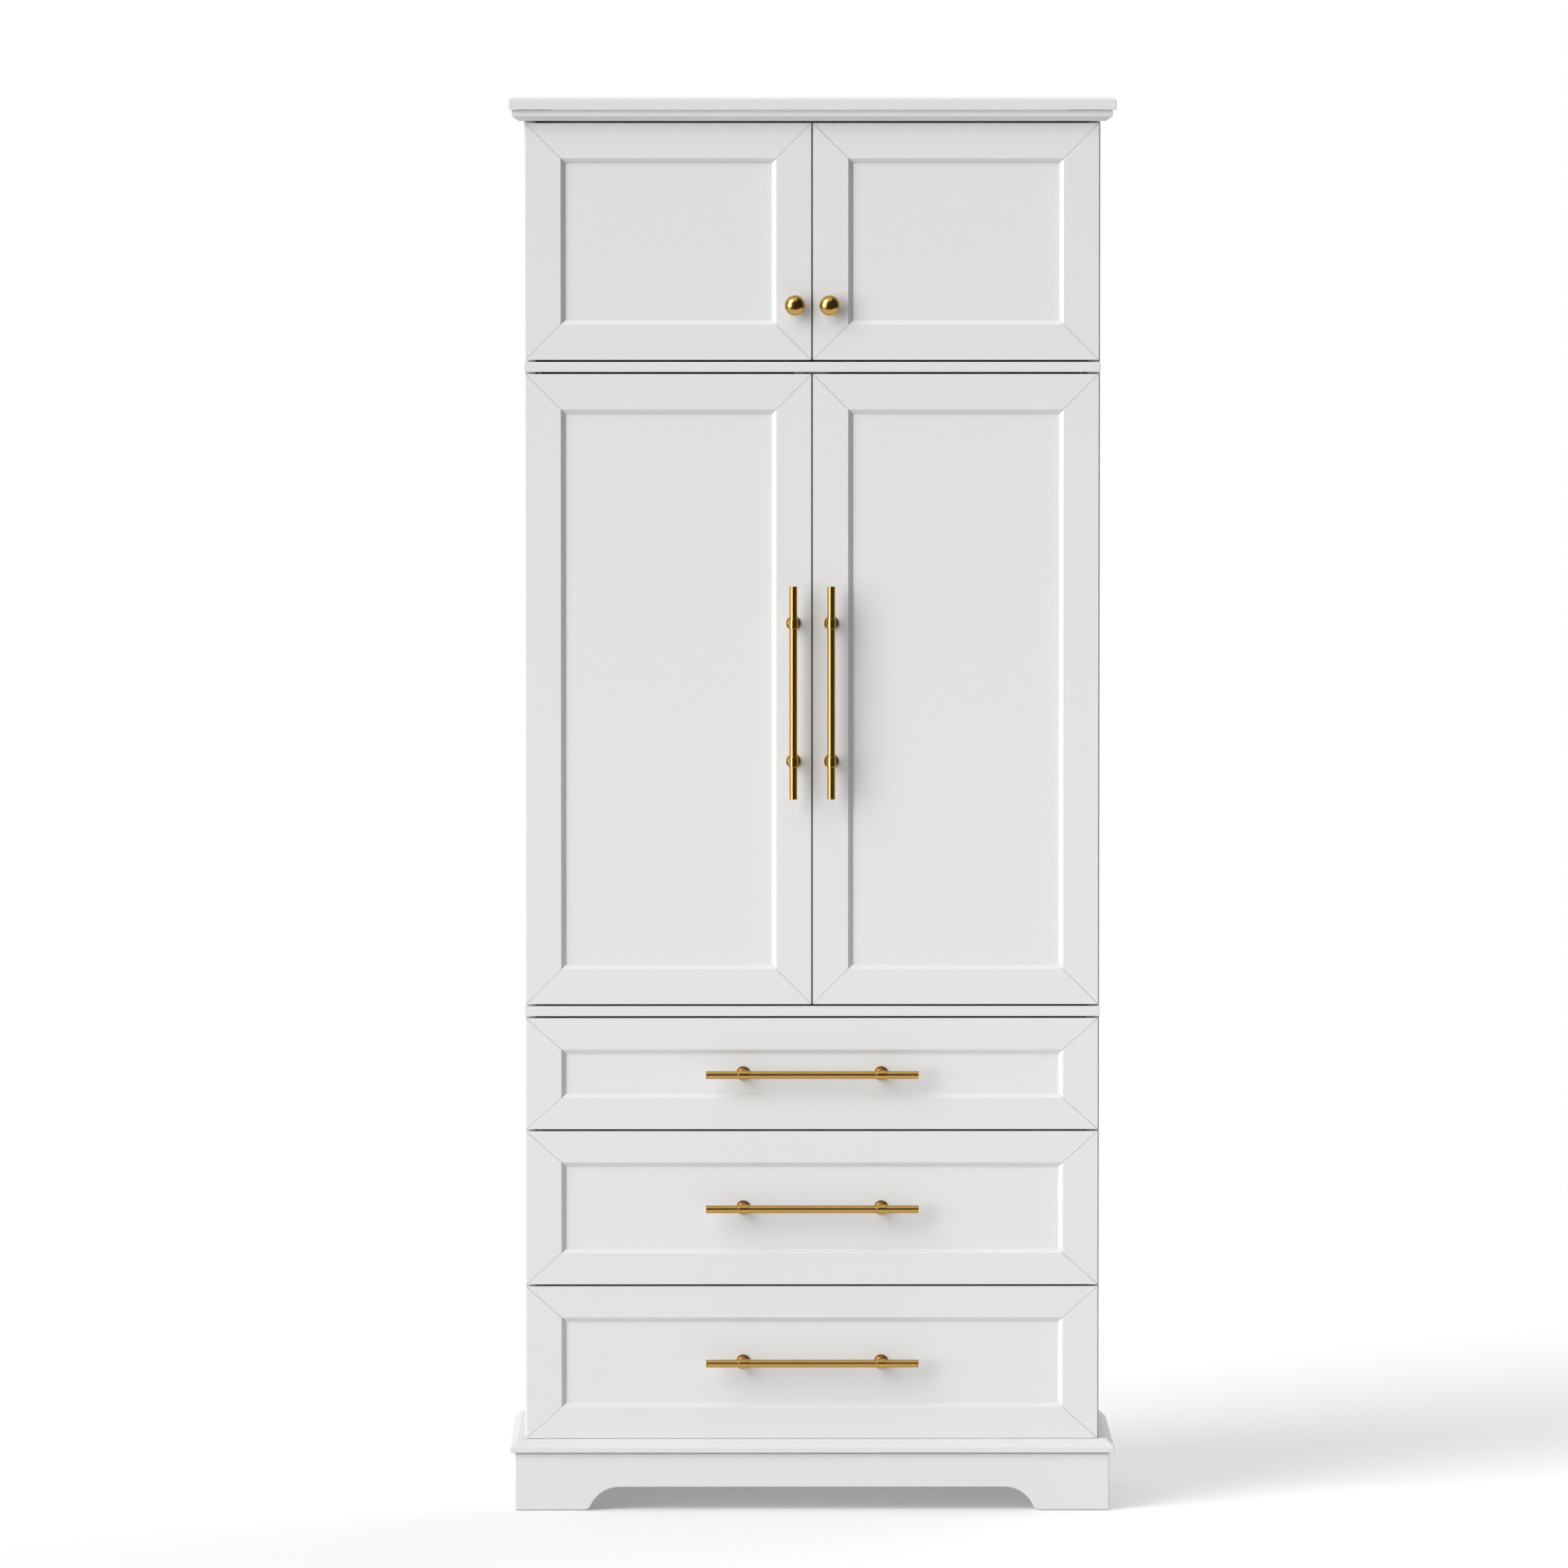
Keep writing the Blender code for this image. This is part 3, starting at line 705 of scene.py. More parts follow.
def drawer_front(row):
    body = f"drawer_{row}"
    low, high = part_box(f"{body}_front")
    if row == "bottom":
        low.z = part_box("base_board")[1].z + FIT
    framed_front(f"{body}_front", low, high, DRAWER_RAIL, body, [f"{body}_front"])
    tuck = STICKING - REBATE + PANEL_FIT
    inset = Vector((STILE + tuck, 0, DRAWER_RAIL + tuck))
    face = Vector((0, RECESS + PANEL_BACK, 0))
    shape = board(low + inset + face, high - inset, PANEL_ARRIS)
    piece(f"{body}_front_panel", shape, LACQUER, body, [f"{body}_front"])


def drawer_box(row):
    body = f"drawer_{row}"
    node = f"{body}_box"
    low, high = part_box(node)
    x_in = high.x - BOX_WALL - JOINT
    for word, side in (("left", -1), ("right", 1)):
        x = sorted((side * (high.x - BOX_WALL), side * high.x))
        shape = board((x[0], low.y, low.z), (x[1], high.y, high.z), BOARD_ARRIS)
        piece(f"{node}_side_{word}", shape, MELAMINE, body, [node])
    for word, y in (("front", (low.y, low.y + BOX_WALL)), ("back", (high.y - BOX_WALL, high.y))):
        shape = board((-x_in, y[0], low.z), (x_in, y[1], high.z), BOARD_ARRIS)
        piece(f"{node}_{word}", shape, MELAMINE, body, [node])
    z = low.z + BOX_BOTTOM_UP
    shape = block((-x_in, low.y + BOX_WALL + JOINT, z),
                  (x_in, high.y - BOX_WALL - JOINT, z + BOX_BOTTOM))
    piece(f"{node}_bottom", shape, MELAMINE, body, [node])
    heads = []
    for side in (-1, 1):
        for z_screw in (low.z + SCREW_IN, high.z - SCREW_IN):
            place = Vector((side * high.x, high.y - BOX_WALL / 2, z_screw))
            heads.append(facing((side, 0, 0), place))
            place = Vector((side * SCREW_OUT, low.y + BOX_WALL, z_screw))
            heads.append(facing((0, 1, 0), place))
    piece(f"{node}_screws", copies(screw_head(0.0036), heads), ZINC, body)
    return high - low


for row in ("bottom", "middle", "top"):
    drawer_front(row)
    size = drawer_box(row)
    print(row, "drawer box:", [round(side, 4) for side in size])

# %% [markdown]
# ## Runners
#
# Each drawer rides on a pair of roller runners. The half on the cabinet is a rolled channel
# with a nylon roller at its front, and the half on the drawer is an angle with a roller at its
# back. Both halves are bent from sheet, so they are drawn as sheet: an outline with thickness.

# %% Rolled sheet and rollers
SHEET = 0.0013
HEM = 0.0024              # the channel's turned-up lip
ROLLER_RADIUS = 0.0078
ROLLER_WIDTH = 0.0055
ROLLER_PLAY = 0.0009      # between a roller and the channel's wall
ROLLER_UP = 0.0025        # a roller above the channel's lower edge
FRONT_AXLE = 0.0125       # in from the channel's front end
REAR_AXLE = 0.011         # in from its rear end
FLANGE_PLAY = 0.0012      # between the drawer's angle and the channel's wall


def extruded(points, along):
    """A closed outline drawn out into a solid."""
    shape = bmesh.new()
    face = shape.faces.new([shape.verts.new(point) for point in points])
    drawn = bmesh.ops.extrude_face_region(shape, geom=[face])
    moving = [item for item in drawn["geom"] if isinstance(item, bmesh.types.BMVert)]
    bmesh.ops.translate(shape, vec=along, verts=moving)
    bmesh.ops.recalc_face_normals(shape, faces=shape.faces)
    return shape


def strip(outline, low_y, high_y):
    """A closed outline of (x, z) points drawn out along Y."""
    return extruded([(x, low_y, z) for x, z in outline], (0, high_y - low_y, 0))


def roller(place, side):
    """A nylon wheel on a steel rivet, its axle along X."""
    half = ROLLER_WIDTH / 2
    wheel = [(0.002, -half), (ROLLER_RADIUS * 0.8, -half), (ROLLER_RADIUS, -half * 0.6),
             (ROLLER_RADIUS, half * 0.6), (ROLLER_RADIUS * 0.8, half), (0.002, half),
             (0.002, -half)]
    rivet = [(0, half + 0.0008), (0.0032, half + 0.0004), (0.0036, half), (0.0019, half),
             (0.0019, -half), (0, -half)]
    stand = facing((-side, 0, 0), place)
    return moved(turned(softened(wheel, 0.0005), 32), stand), moved(turned(rivet, 24), stand)


def runner(row, word, side):
    body = f"drawer_{row}"
    node = f"{body}_runner_{word}"
    low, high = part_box(node)
    wall = high.x if side > 0 else -low.x
    mouth = wall - (high.x - low.x)
    channel = [(wall, low.z), (mouth, low.z), (mouth, low.z + HEM), (mouth + SHEET, low.z + HEM),
               (mouth + SHEET, low.z + SHEET), (wall - SHEET, low.z + SHEET),
               (wall - SHEET, high.z - SHEET), (mouth, high.z - SHEET), (mouth, high.z),
               (wall, high.z)]
    shape = ease(strip([(side * x, z) for x, z in channel], low.y, high.y), 0.0004, 2)
    heads = [facing((-side, 0, 0), Vector((side * (wall - SHEET), y, (low.z + high.z) / 2)))
             for y in (low.y + 0.034, low.y + 0.130, high.y - 0.034)]
    piece(f"{node}_channel", joined([shape, copies(screw_head(0.0032), heads)]), ZINC,
          "carcass", [node])
    x_roller = (wall - SHEET - ROLLER_WIDTH / 2 - ROLLER_PLAY) * side
    z_roller = low.z + ROLLER_UP + ROLLER_RADIUS
    wheel, rivet = roller(Vector((x_roller, low.y + FRONT_AXLE, z_roller)), side)
    piece(f"{node}_front_roller", wheel, NYLON, "carcass")
    piece(f"{node}_front_rivet", rivet, ZINC, "carcass")

    box_low, box_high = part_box(f"{body}_box")
    x_box = box_high.x + FIT
    x_flange = wall - SHEET - FLANGE_PLAY
    z_flange = z_roller + ROLLER_RADIUS + 0.0004
    angle = [(x_box, box_low.z + 0.003), (x_box + SHEET, box_low.z + 0.003),
             (x_box + SHEET, z_flange), (x_flange, z_flange), (x_flange, z_flange + SHEET),
             (x_box, z_flange + SHEET)]
    shape = ease(strip([(side * x, z) for x, z in angle], box_low.y + 0.012, high.y), 0.0004, 2)
    heads = [facing((side, 0, 0), Vector((side * (x_box + SHEET), y, box_low.z + 0.009)))
             for y in (box_low.y + 0.05, box_low.y + 0.16, high.y - 0.05)]
    piece(f"{body}_slide_{word}", joined([shape, copies(screw_head(0.0022), heads)]), ZINC, body)
    wheel, rivet = roller(Vector((x_roller, high.y - REAR_AXLE, z_roller)), side)
    piece(f"{body}_slide_{word}_roller", wheel, NYLON, body)
    piece(f"{body}_slide_{word}_rivet", rivet, ZINC, body)


for row in ("bottom", "middle", "top"):
    for word, side in (("left", -1), ("right", 1)):
        runner(row, word, side)

# %% [markdown]
# ## Plinth
#
# The front board of the plinth is sawn to an arch between two bracket feet. The curve is two
# arcs that meet without a corner: a short one that rolls off the foot and a long hollow one up
# to the straight. The router that eased its edge is what gives the thin bright line there.

# %% The plinth
FOOT = 0.096              # length of a bracket foot along the floor
ARCH_HEIGHT = 0.0318
ARCH_RUN = 0.050
TOE_SHARE = 0.2           # of the curve's radius, that the arc at the foot has
ARCH_STEPS = 14
ROUTED = 0.0016
SHADOW_GAP = 0.0010       # dark line under the base board
LIFT = 0.0012             # the glides carry the boards clear of the floor


def arch_curve(x_toe):
    """(x, z) points from the right foot's toe up to the straight."""
    turn = 2 * math.atan(ARCH_HEIGHT / ARCH_RUN)
    both = ARCH_RUN / math.sin(turn)
    toe = both * TOE_SHARE
    hollow = both - toe
    x_top = x_toe - ARCH_RUN
    angles = [turn * step / ARCH_STEPS for step in range(ARCH_STEPS + 1)]
    lower = [(x_toe - toe * math.sin(a), LIFT + toe * (1 - math.cos(a))) for a in angles]
    upper = [(x_top + hollow * math.sin(a), LIFT + ARCH_HEIGHT - hollow * (1 - math.cos(a)))
             for a in angles]
    return lower + upper[-2::-1]


def plinth_front():
    low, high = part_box("plinth_front")
    low.z += LIFT
    high.z -= SHADOW_GAP
    right = [(high.x, high.z), (high.x, low.z)] + arch_curve(high.x - FOOT)
    left = [(-x, z) for x, z in reversed(right)]
    shape = strip(right + left, low.y, high.y)
    ease(shape, ROUTED, 3, lambda edge: all(vert.co.y < low.y + 1e-5 for vert in edge.verts))
    return ease(shape, FINE_ARRIS, 2)


piece("plinth_front_board", plinth_front(), LACQUER, "carcass", ["plinth_front"])
for word in ("left", "right"):
    low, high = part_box(f"plinth_{word}")
    low.z += LIFT
    high.z -= SHADOW_GAP
    piece(f"plinth_{word}_board", board(low, high, ARRIS), LACQUER, "carcass",
          [f"plinth_{word}"])
low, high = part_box("plinth_rear")
low.z += LIFT
piece("plinth_rear_board", board(low, high, ARRIS), MELAMINE, "carcass",
      ["plinth_rear"])
print("arch points:", len(arch_curve(0.3)))

# %% [markdown]
# Inside the plinth, a triangular block is glued into each corner and carries a nylon glide, so
# that the bracket feet stay square and the whole thing slides on a floor without chipping.

# %% Corner blocks and glides
CORNER = 0.038
GLIDE = 0.0052            # height of a glide
GLIDE_RADIUS = 0.0085
GLIDE_IN = 0.011          # a glide's middle, in from the corner
BLOCK_DROP = 0.0006       # the blocks stop short of the base board


def corner_block(x, y, towards_x, towards_y, z_low, z_high):
    """A three-sided block in a corner."""
    plan = [(x, y), (x + towards_x * CORNER, y), (x, y + towards_y * CORNER)]
    shape = extruded([(px, py, z_low) for px, py in plan], (0, 0, z_high - z_low))
    return ease(shape, 0.0012, 2)


def glide():
    """A moulded foot along +Z: a flange against its block, and a taper to the floor."""
    outline = [(0, 0), (GLIDE_RADIUS, 0), (GLIDE_RADIUS, 0.0028), (0.006, GLIDE), (0, GLIDE)]
    return turned(softened(outline, 0.0008), 32)


x_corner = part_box("plinth_right")[0].x - JOINT
y_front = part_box("plinth_front")[1].y + JOINT
y_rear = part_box("plinth_rear")[0].y - JOINT
z_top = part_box("plinth_front")[1].z - BLOCK_DROP
for word, side in (("left", -1), ("right", 1)):
    for end, y, towards in (("front", y_front, 1), ("rear", y_rear, -1)):
        shape = corner_block(side * x_corner, y, -side, towards, GLIDE, z_top)
        piece(f"corner_block_{end}_{word}", shape, MELAMINE, "carcass")
        place = Vector((side * (x_corner - GLIDE_IN), y + towards * GLIDE_IN, GLIDE))
        piece(f"glide_{end}_{word}", glide(), NYLON, "carcass", place=facing((0, 0, -1), place))
print("inside the plinth:", round(2 * x_corner, 4), "by", round(y_rear - y_front, 4))

# %% [markdown]
# ## Base board, cornice and top
#
# These are run through a moulder, which leaves soft radii where two faces meet, never a knife
# edge. The cornice is three lengths of moulding, mitred at the front corners, with the top
# board laid over them.

# %% Mouldings
LIP_RUN = 0.0104
LIP_DROP = 0.0095
LIP_ROUND = 0.0014
TOP_RUN = 0.005
TOP_DROP = 0.0025
TOP_ROUND = 0.0009
CORNICE_WIDTH = 0.050
SLOPE_RUN = 0.009
SLOPE_RISE = 0.0065


def chamfered(node, run, drop):
    """A board whose top edge is cut back at the front and the sides."""
    low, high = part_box(node)
    shape = block(low, high)
    bmesh.ops.bisect_plane(shape, geom=shape.verts[:] + shape.edges[:] + shape.faces[:],
                           plane_co=(0, 0, high.z - drop), plane_no=(0, 0, 1))
    for vert in shape.verts:
        if vert.co.z > high.z - 1e-6:
            vert.co.x -= math.copysign(run, vert.co.x)
            if vert.co.y < 0:
                vert.co.y += run
    return shape


def base_board():
    return ease(chamfered("base_board", LIP_RUN, LIP_DROP), LIP_ROUND, 4,
                lambda edge: edge.verts[0].co.y < 0 or edge.verts[1].co.y < 0)


def top_board():
    return ease(chamfered("top_board", TOP_RUN, TOP_DROP), TOP_ROUND, 3)


def cornice_strip(side):
    """One length of the moulding, mitred where it meets the next."""
    low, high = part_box("cornice_moulding")
    outline = [(SLOPE_RUN, low.z), (0, low.z + SLOPE_RISE), (0, high.z),
               (CORNICE_WIDTH, high.z), (CORNICE_WIDTH, low.z)]
    ends = ([], [])
    for inset, z in outline:
        if side == "front":
            y = low.y + inset
            spots = ((low.x + inset + MITRE_GAP, y), (high.x - inset - MITRE_GAP, y))
        else:
            x = low.x + inset if side == "left" else high.x - inset
            spots = ((x, low.y + inset + MITRE_GAP), (x, high.y))
        for end, (x, y) in zip(ends, spots):
            end.append((x, y, z))
    return ease(lofted(ends)[0], FINE_ARRIS, 2)


piece("base_board_moulded", base_board(), LACQUER, "carcass", ["base_board"])
piece("top_board_moulded", top_board(), LACQUER, "carcass", ["top_board"])
for side in ("front", "left", "right"):
    piece(f"cornice_{side}", cornice_strip(side), LACQUER, "carcass",
          ["cornice_moulding"])

# %% [markdown]
# ## Carcass
#
# The sides are lacquered boards. A shelf is two pieces: the board inside and a lacquered nosing
# glued over its front edge, which runs out over the sides and shows as a rail between the
# doors. A rebate along the top's front edge is what draws the dark line under the cornice. The
# back is thin board held by nails, and their heads are all that breaks up its wide face.

# %% Sides, shelves and back
TOP_REBATE = (0.026, 0.006)  # depth and height
NAIL_SPACING = 0.118
NAIL_IN = 0.007           # in from an edge
NAIL_END = 0.012          # in from the top and the bottom
for word in ("left", "right"):
    low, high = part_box(f"side_panel_{word}")
    piece(f"side_{word}_board", board(low, high, 0.0012), LACQUER, "carcass",
          [f"side_panel_{word}"])
low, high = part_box("top_panel")
rebate = block((low.x - PAST, low.y - PAST, high.z - TOP_REBATE[1]),
               (high.x + PAST, low.y + TOP_REBATE[0], high.z + PAST))
piece("inner_top_board", bored(board(low, high, BOARD_ARRIS), rebate), MELAMINE, "carcass",
      ["top_panel"])

side_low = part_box("side_panel_right")[0]
x_inside = side_low.x
for row in ("lower", "upper"):
    node = f"{row}_shelf"
    low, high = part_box(node)
    y_joint = side_low.y - FIT
    nosing = board(low, (high.x, y_joint, high.z), ARRIS)
    piece(f"{node}_nosing", nosing, LACQUER, "carcass", [node])
    shelf = board((FIT - x_inside, y_joint + JOINT, low.z), (x_inside - FIT, high.y, high.z),
                  BOARD_ARRIS)
    piece(f"{node}_board", shelf, MELAMINE, "carcass", [node])

back_low, back_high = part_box("back_panel")
piece("back_board", board(back_low, back_high, 0.0004), HARDBOARD, "carcass",
      ["back_panel"])
nails = []
rows = round((back_high.z - back_low.z) / NAIL_SPACING)
y_nail = back_high.y - 0.0001
for step in range(rows + 1):
    z = back_low.z + NAIL_END + (back_high.z - back_low.z - 2 * NAIL_END) * step / rows
    for x in (back_low.x + NAIL_IN, back_high.x - NAIL_IN):
        nails.append(facing((0, 1, 0), Vector((x, y_nail, z))))
for row in ("lower", "upper"):
    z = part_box(f"{row}_shelf")[0].z + NAIL_IN
    for step in range(1, 7):
        x = back_low.x + (back_high.x - back_low.x) * step / 7
        nails.append(facing((0, 1, 0), Vector((x, y_nail, z))))
nail = turned(softened([(0, 0.0004), (0.0019, 0.00035), (0.0021, 0), (0, -0.0002)], 0.0001), 16)
print("nails in the back:", len(nails))
piece("back_nails", copies(nail, nails), ZINC, "carcass")

# %% [markdown]
# ## Knobs
#
# A knob is one turned outline: a foot, a hollow neck and a shallow domed head with a crisp
# rim. The curves are drawn as ellipses and quadratic arcs, because a straight cone between
# points would break the reflection that makes brass look round.

# %% Two turned knobs
def ellipse(radius, height, centre, start, end, steps):
    """(radius, height) points on a quarter of an ellipse, angles in degrees from the top."""
    made = []
    for step in range(steps + 1):
        angle = math.radians(start + (end - start) * step / steps)
        made.append(Vector((radius * math.sin(angle), centre + height * math.cos(angle))))
    return made


def hollow(start, corner, end, steps):
    """A quadratic curve between two points, pulled towards a third."""
    start, corner, end = Vector(start), Vector(corner), Vector(end)
    return [start.lerp(corner, step / steps).lerp(corner.lerp(end, step / steps), step / steps)
            for step in range(steps + 1)]


def knob_outline(radius, reach):
    rim = reach * 0.60
    head = ellipse(radius, reach - rim, rim, 0, 88, 16)
    under = hollow((radius * 0.985, rim - 0.0012), (radius * 0.42, rim - 0.0030),
                   (radius * 0.37, reach * 0.30), 8)
    neck = hollow((radius * 0.37, reach * 0.26), (radius * 0.37, reach * 0.10),
                  (radius * 0.50, reach * 0.075), 6)
    foot = [Vector((radius * 0.56, reach * 0.07)), Vector((radius * 0.56, 0.0003)),
            Vector((0, 0.0003))]
    return head + under + neck + foot


for word in ("left", "right"):
    low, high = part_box(f"knob_{word}")
    centre = (low + high) / 2
    radius = (high.x - low.x) / 2
    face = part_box(f"upper_door_{word}_frame")[0].y
    shape = turned(knob_outline(radius, face - low.y), 64)
    place = facing((0, -1, 0), Vector((centre.x, face, centre.z)))
    piece(f"knob_{word}_turned", shape, BRASS_TURNED, f"upper_door_{word}",
          [f"knob_{word}"], place)
print("knob:", round(2 * radius, 4), "across,", round(face - low.y, 4), "proud")

# %% [markdown]
# ## Pulls
#
# A pull is a bar held by two posts. Each post is turned: a flat rosette at its foot, a hollow
# up to the neck, and a short sleeve across its head that the bar passes through. The sleeve is
# a separate barrel with rounded ends, so that the light on the bar swells where it crosses.

# %% Five pulls
POST_SPACING = 0.192
PULL_DEPTH = 0.014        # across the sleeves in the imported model
BAR_RADIUS = 0.0055
BAR_CLEARANCE = 0.00012
SLEEVE = (0.0067, 0.0132)  # radius and length
ROSETTE = 0.0100
NECK = 0.0053
FLARE = 0.0082            # where the neck runs out on the rosette


def post(standoff):
    """A post with its foot at Z = 0, turned up to just short of the bar; its sleeve is a piece of
    its own.
    """
    ledge = 0.0022
    top = standoff - BAR_RADIUS - 0.0004
    outline = [Vector((0, top)), Vector((NECK, top))]
    outline += hollow((NECK, 0.0130), (NECK + 0.0009, 0.0048), (FLARE, ledge), 8)
    outline += [Vector((ROSETTE - 0.0006, ledge)), Vector((ROSETTE - 0.0001, ledge - 0.0002)),
                Vector((ROSETTE, ledge - 0.0007)), Vector((ROSETTE, 0.0003)), Vector((0, 0.0003))]
    return turned(outline, 56)


def sleeve():
    """A short barrel along Z, bored for the bar."""
    radius, half = SLEEVE[0], SLEEVE[1] / 2
    bore = BAR_RADIUS + BAR_CLEARANCE
    outline = [(bore, -half), (radius - 0.0001, -half), (radius, 0.002 - half),
               (radius, half - 0.002), (radius - 0.0001, half), (bore, half), (bore, -half)]
    return turned(softened(outline, 0.0007, 4), 56)


def pull(name, body, node, upright):
    low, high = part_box(node)
    centre = (low + high) / 2
    axis = Vector((0, 0, 1)) if upright else Vector((1, 0, 0))
    length = (high - low).dot(axis)
    face = high.y + FIT
    standoff = face - low.y - PULL_DEPTH / 2
    middle = Vector((centre.x, face - standoff, centre.z))
    shape = rod(BAR_RADIUS, -length / 2, length / 2, 0.0007)
    piece(f"{name}_bar", shape, BRASS_BAR, body, [node], facing(axis, middle))
    for number, shift in enumerate((-POST_SPACING / 2, POST_SPACING / 2), 1):
        place = shift * axis
        foot = Vector((centre.x, face, centre.z)) + place
        piece(f"{name}_post_{number}", post(standoff), BRASS_TURNED, body, [node],
              facing((0, -1, 0), foot))
        piece(f"{name}_sleeve_{number}", sleeve(), BRASS_TURNED, body, [node],
              facing(axis, middle + place))
    return length


for word in ("left", "right"):
    length = pull(f"pull_{word}", f"tall_door_{word}", f"pull_{word}", True)
for row in ("bottom", "middle", "top"):
    pull(f"drawer_{row}_pull", f"drawer_{row}", f"drawer_{row}_pull", False)
print("pulls:", round(length, 4), "long")

# %% [markdown]
# ## Concealed hinges
#
# A cup hinge has three parts that show when the door is open: a pressed cup with two ears
# screwed to the door, a channel-shaped arm clipped on a plate inside the cabinet, and a pair of
# links between them. The links belong to neither side, so they are one bent strip drawn at rest
# from the arm at one end to the cup at the other, and ride on no body.

# %% Eight hinges
CUP_WALL = 0.0012
EAR = (0.015, 0.0012, 0.054)
LINK_THICKNESS = 0.0013
LINK_HEIGHT = 0.0088
ARM_SHEET = 0.0014
ARM_HALF = 0.0069         # half the height of an arm
PLATE = (0.0025, 0.032, 0.044)  # a mounting plate's thickness, length and height
PLATE_IN = 0.0395         # a plate's front end, in from the arm's rear end


def hinge_cup(name, body):
    node = f"hinge_cup_{name}"
    low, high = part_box(node)
    centre = (low + high) / 2
    radius = (high.x - low.x) / 2
    y_back = high.y - EAR[1]
    depth = y_back - low.y
    outline = [(0, 0), (radius - 0.0012, 0), (radius, 0.0014), (radius, depth - 0.0004),
               (radius + 0.0001, depth), (radius + 0.0001, depth + 0.0009),
               (radius - CUP_WALL, depth + 0.0009), (radius - CUP_WALL - 0.0006, 0.0024),
               (radius - CUP_WALL - 0.0022, CUP_WALL), (0, CUP_WALL)]
    cup = moved(turned(softened(outline, 0.0006), ROUND),
                facing((0, 1, 0), Vector((centre.x, low.y, centre.z))))
    ears = board((centre.x - EAR[0] / 2, y_back, centre.z - EAR[2] / 2),
                 (centre.x + EAR[0] / 2, high.y, centre.z + EAR[2] / 2), 0.0005)
    mouth = rod(radius - CUP_WALL / 2, -0.01, 0.01)
    ears = bored(ears, moved(mouth, facing((0, 1, 0), Vector((centre.x, high.y, centre.z)))))
    heads = [facing((0, 1, 0), Vector((centre.x, high.y - 0.0002, centre.z + shift)))
             for shift in (-0.0222, 0.0222)]
    shape = joined([cup, ears, copies(screw_head(0.0034), heads)])
    piece(f"{node}_pressed", shape, NICKEL, body, [node])


def hinge_arm(name, side):
    node = f"hinge_arm_{name}"
    low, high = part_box(node)
    z = (low.z + high.z) / 2
    wall = high.x if side > 0 else -low.x
    foot = wall - PLATE[0]
    face = wall - (high.x - low.x)
    under = face + ARM_SHEET
    channel = [(foot, z - ARM_HALF), (face, z - ARM_HALF), (face, z + ARM_HALF),
               (foot, z + ARM_HALF), (foot, z + ARM_HALF - ARM_SHEET),
               (under, z + ARM_HALF - ARM_SHEET), (under, z - ARM_HALF + ARM_SHEET),
               (foot, z - ARM_HALF + ARM_SHEET)]
    arm = ease(strip([(side * x, height) for x, height in channel], low.y + 0.004, high.y),
               0.0005, 2)
    half = ARM_HALF - 0.0017
    nose = board(*box_corners(side, face + 0.0003, foot - 0.0006, low.y, low.y + 0.0085,
                              z - half, z + half), 0.0012)
    y_plate = high.y - PLATE_IN
    plate = board(*box_corners(side, foot, wall, y_plate, y_plate + PLATE[1],
                               z - PLATE[2] / 2, z + PLATE[2] / 2), 0.0009)
    inner = Vector((side * (face + 0.0002), 0, z))
    heads = [facing((-side, 0, 0), inner + Vector((0, y, 0)))
             for y in (high.y - 0.0085, high.y - 0.0285)]
    big = copies(screw_head(0.0040), heads)
    outer = Vector((side * foot, y_plate + PLATE[1] / 2, z))
    heads = [facing((-side, 0, 0), outer + Vector((0, 0, shift))) for shift in (-0.0165, 0.0165)]
    small = copies(screw_head(0.0034), heads)
    piece(f"{node}_stamped", joined([arm, nose, plate, big, small]), NICKEL, "carcass",
          [node])


def box_corners(side, x_low, x_high, y_low, y_high, z_low, z_high):
    """The two corners of a block on one side of the cabinet."""
    x = sorted((side * x_low, side * x_high))
    return (x[0], y_low, z_low), (x[1], y_high, z_high)


def hinge_link(name, side):
    """The pair of links, as one bent strip from the arm's nose to the cup's floor."""
    cup_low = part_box(f"hinge_cup_{name}")[0]
    arm_low, arm_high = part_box(f"hinge_arm_{name}")
    z = (arm_low.z + arm_high.z) / 2
    x_nose = side * ((arm_low.x + arm_high.x) / 2) - 0.0006
    start = Vector((x_nose, arm_low.y + 0.0015, 0))
    end = Vector((x_nose - 0.0045, cup_low.y + CUP_WALL + LINK_THICKNESS, 0))
    path = hollow(start, Vector((x_nose - 0.0002, end.y, 0)), end, 12)
    rings = []
    for here, point in enumerate(path):
        before, after = path[max(here - 1, 0)], path[min(here + 1, len(path) - 1)]
        along = (after - before).normalized()
        across = Vector((-along.y, along.x, 0)) * LINK_THICKNESS / 2
        rings.append([(side * (point + turn * across).x, (point + turn * across).y,
                       z + up * LINK_HEIGHT / 2)
                      for turn, up in ((-1, -1), (1, -1), (1, 1), (-1, 1))])
    made = shown(f"hinge_link_{name}", lofted(rings)[0], NICKEL)
    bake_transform(made)


for row in ("upper", "tall"):
    for word, side in (("left", -1), ("right", 1)):
        for end in ("bottom", "top"):
            name = hinge_name(row, word, end)
            hinge_cup(name, f"{row}_door_{word}")
            hinge_arm(name, side)
            hinge_link(name, side)

# %% [markdown]
# ## Hanging rod and catches
#
# The rod is a drawn steel tube with its ends in two flanged sockets, each held by three screws.
# A double magnetic catch under each fixed panel pulls the doors shut against it, so each door
# carries a small strike plate high on its back.

# %% Rod and sockets
TUBE_WALL = 0.0015


def hanging_rod():
    low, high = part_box("hanging_rod")
    radius = (high.z - low.z) / 2
    half = (high.x - low.x) / 2
    inside = radius - TUBE_WALL
    tube = [(inside, -half), (radius, -half), (radius, half), (inside, half), (inside, -half)]
    piece("hanging_rod_tube", turned(tube, 64), STEEL, "carcass", ["hanging_rod"],
          facing((1, 0, 0), (low + high) / 2))
    return high.x - low.x


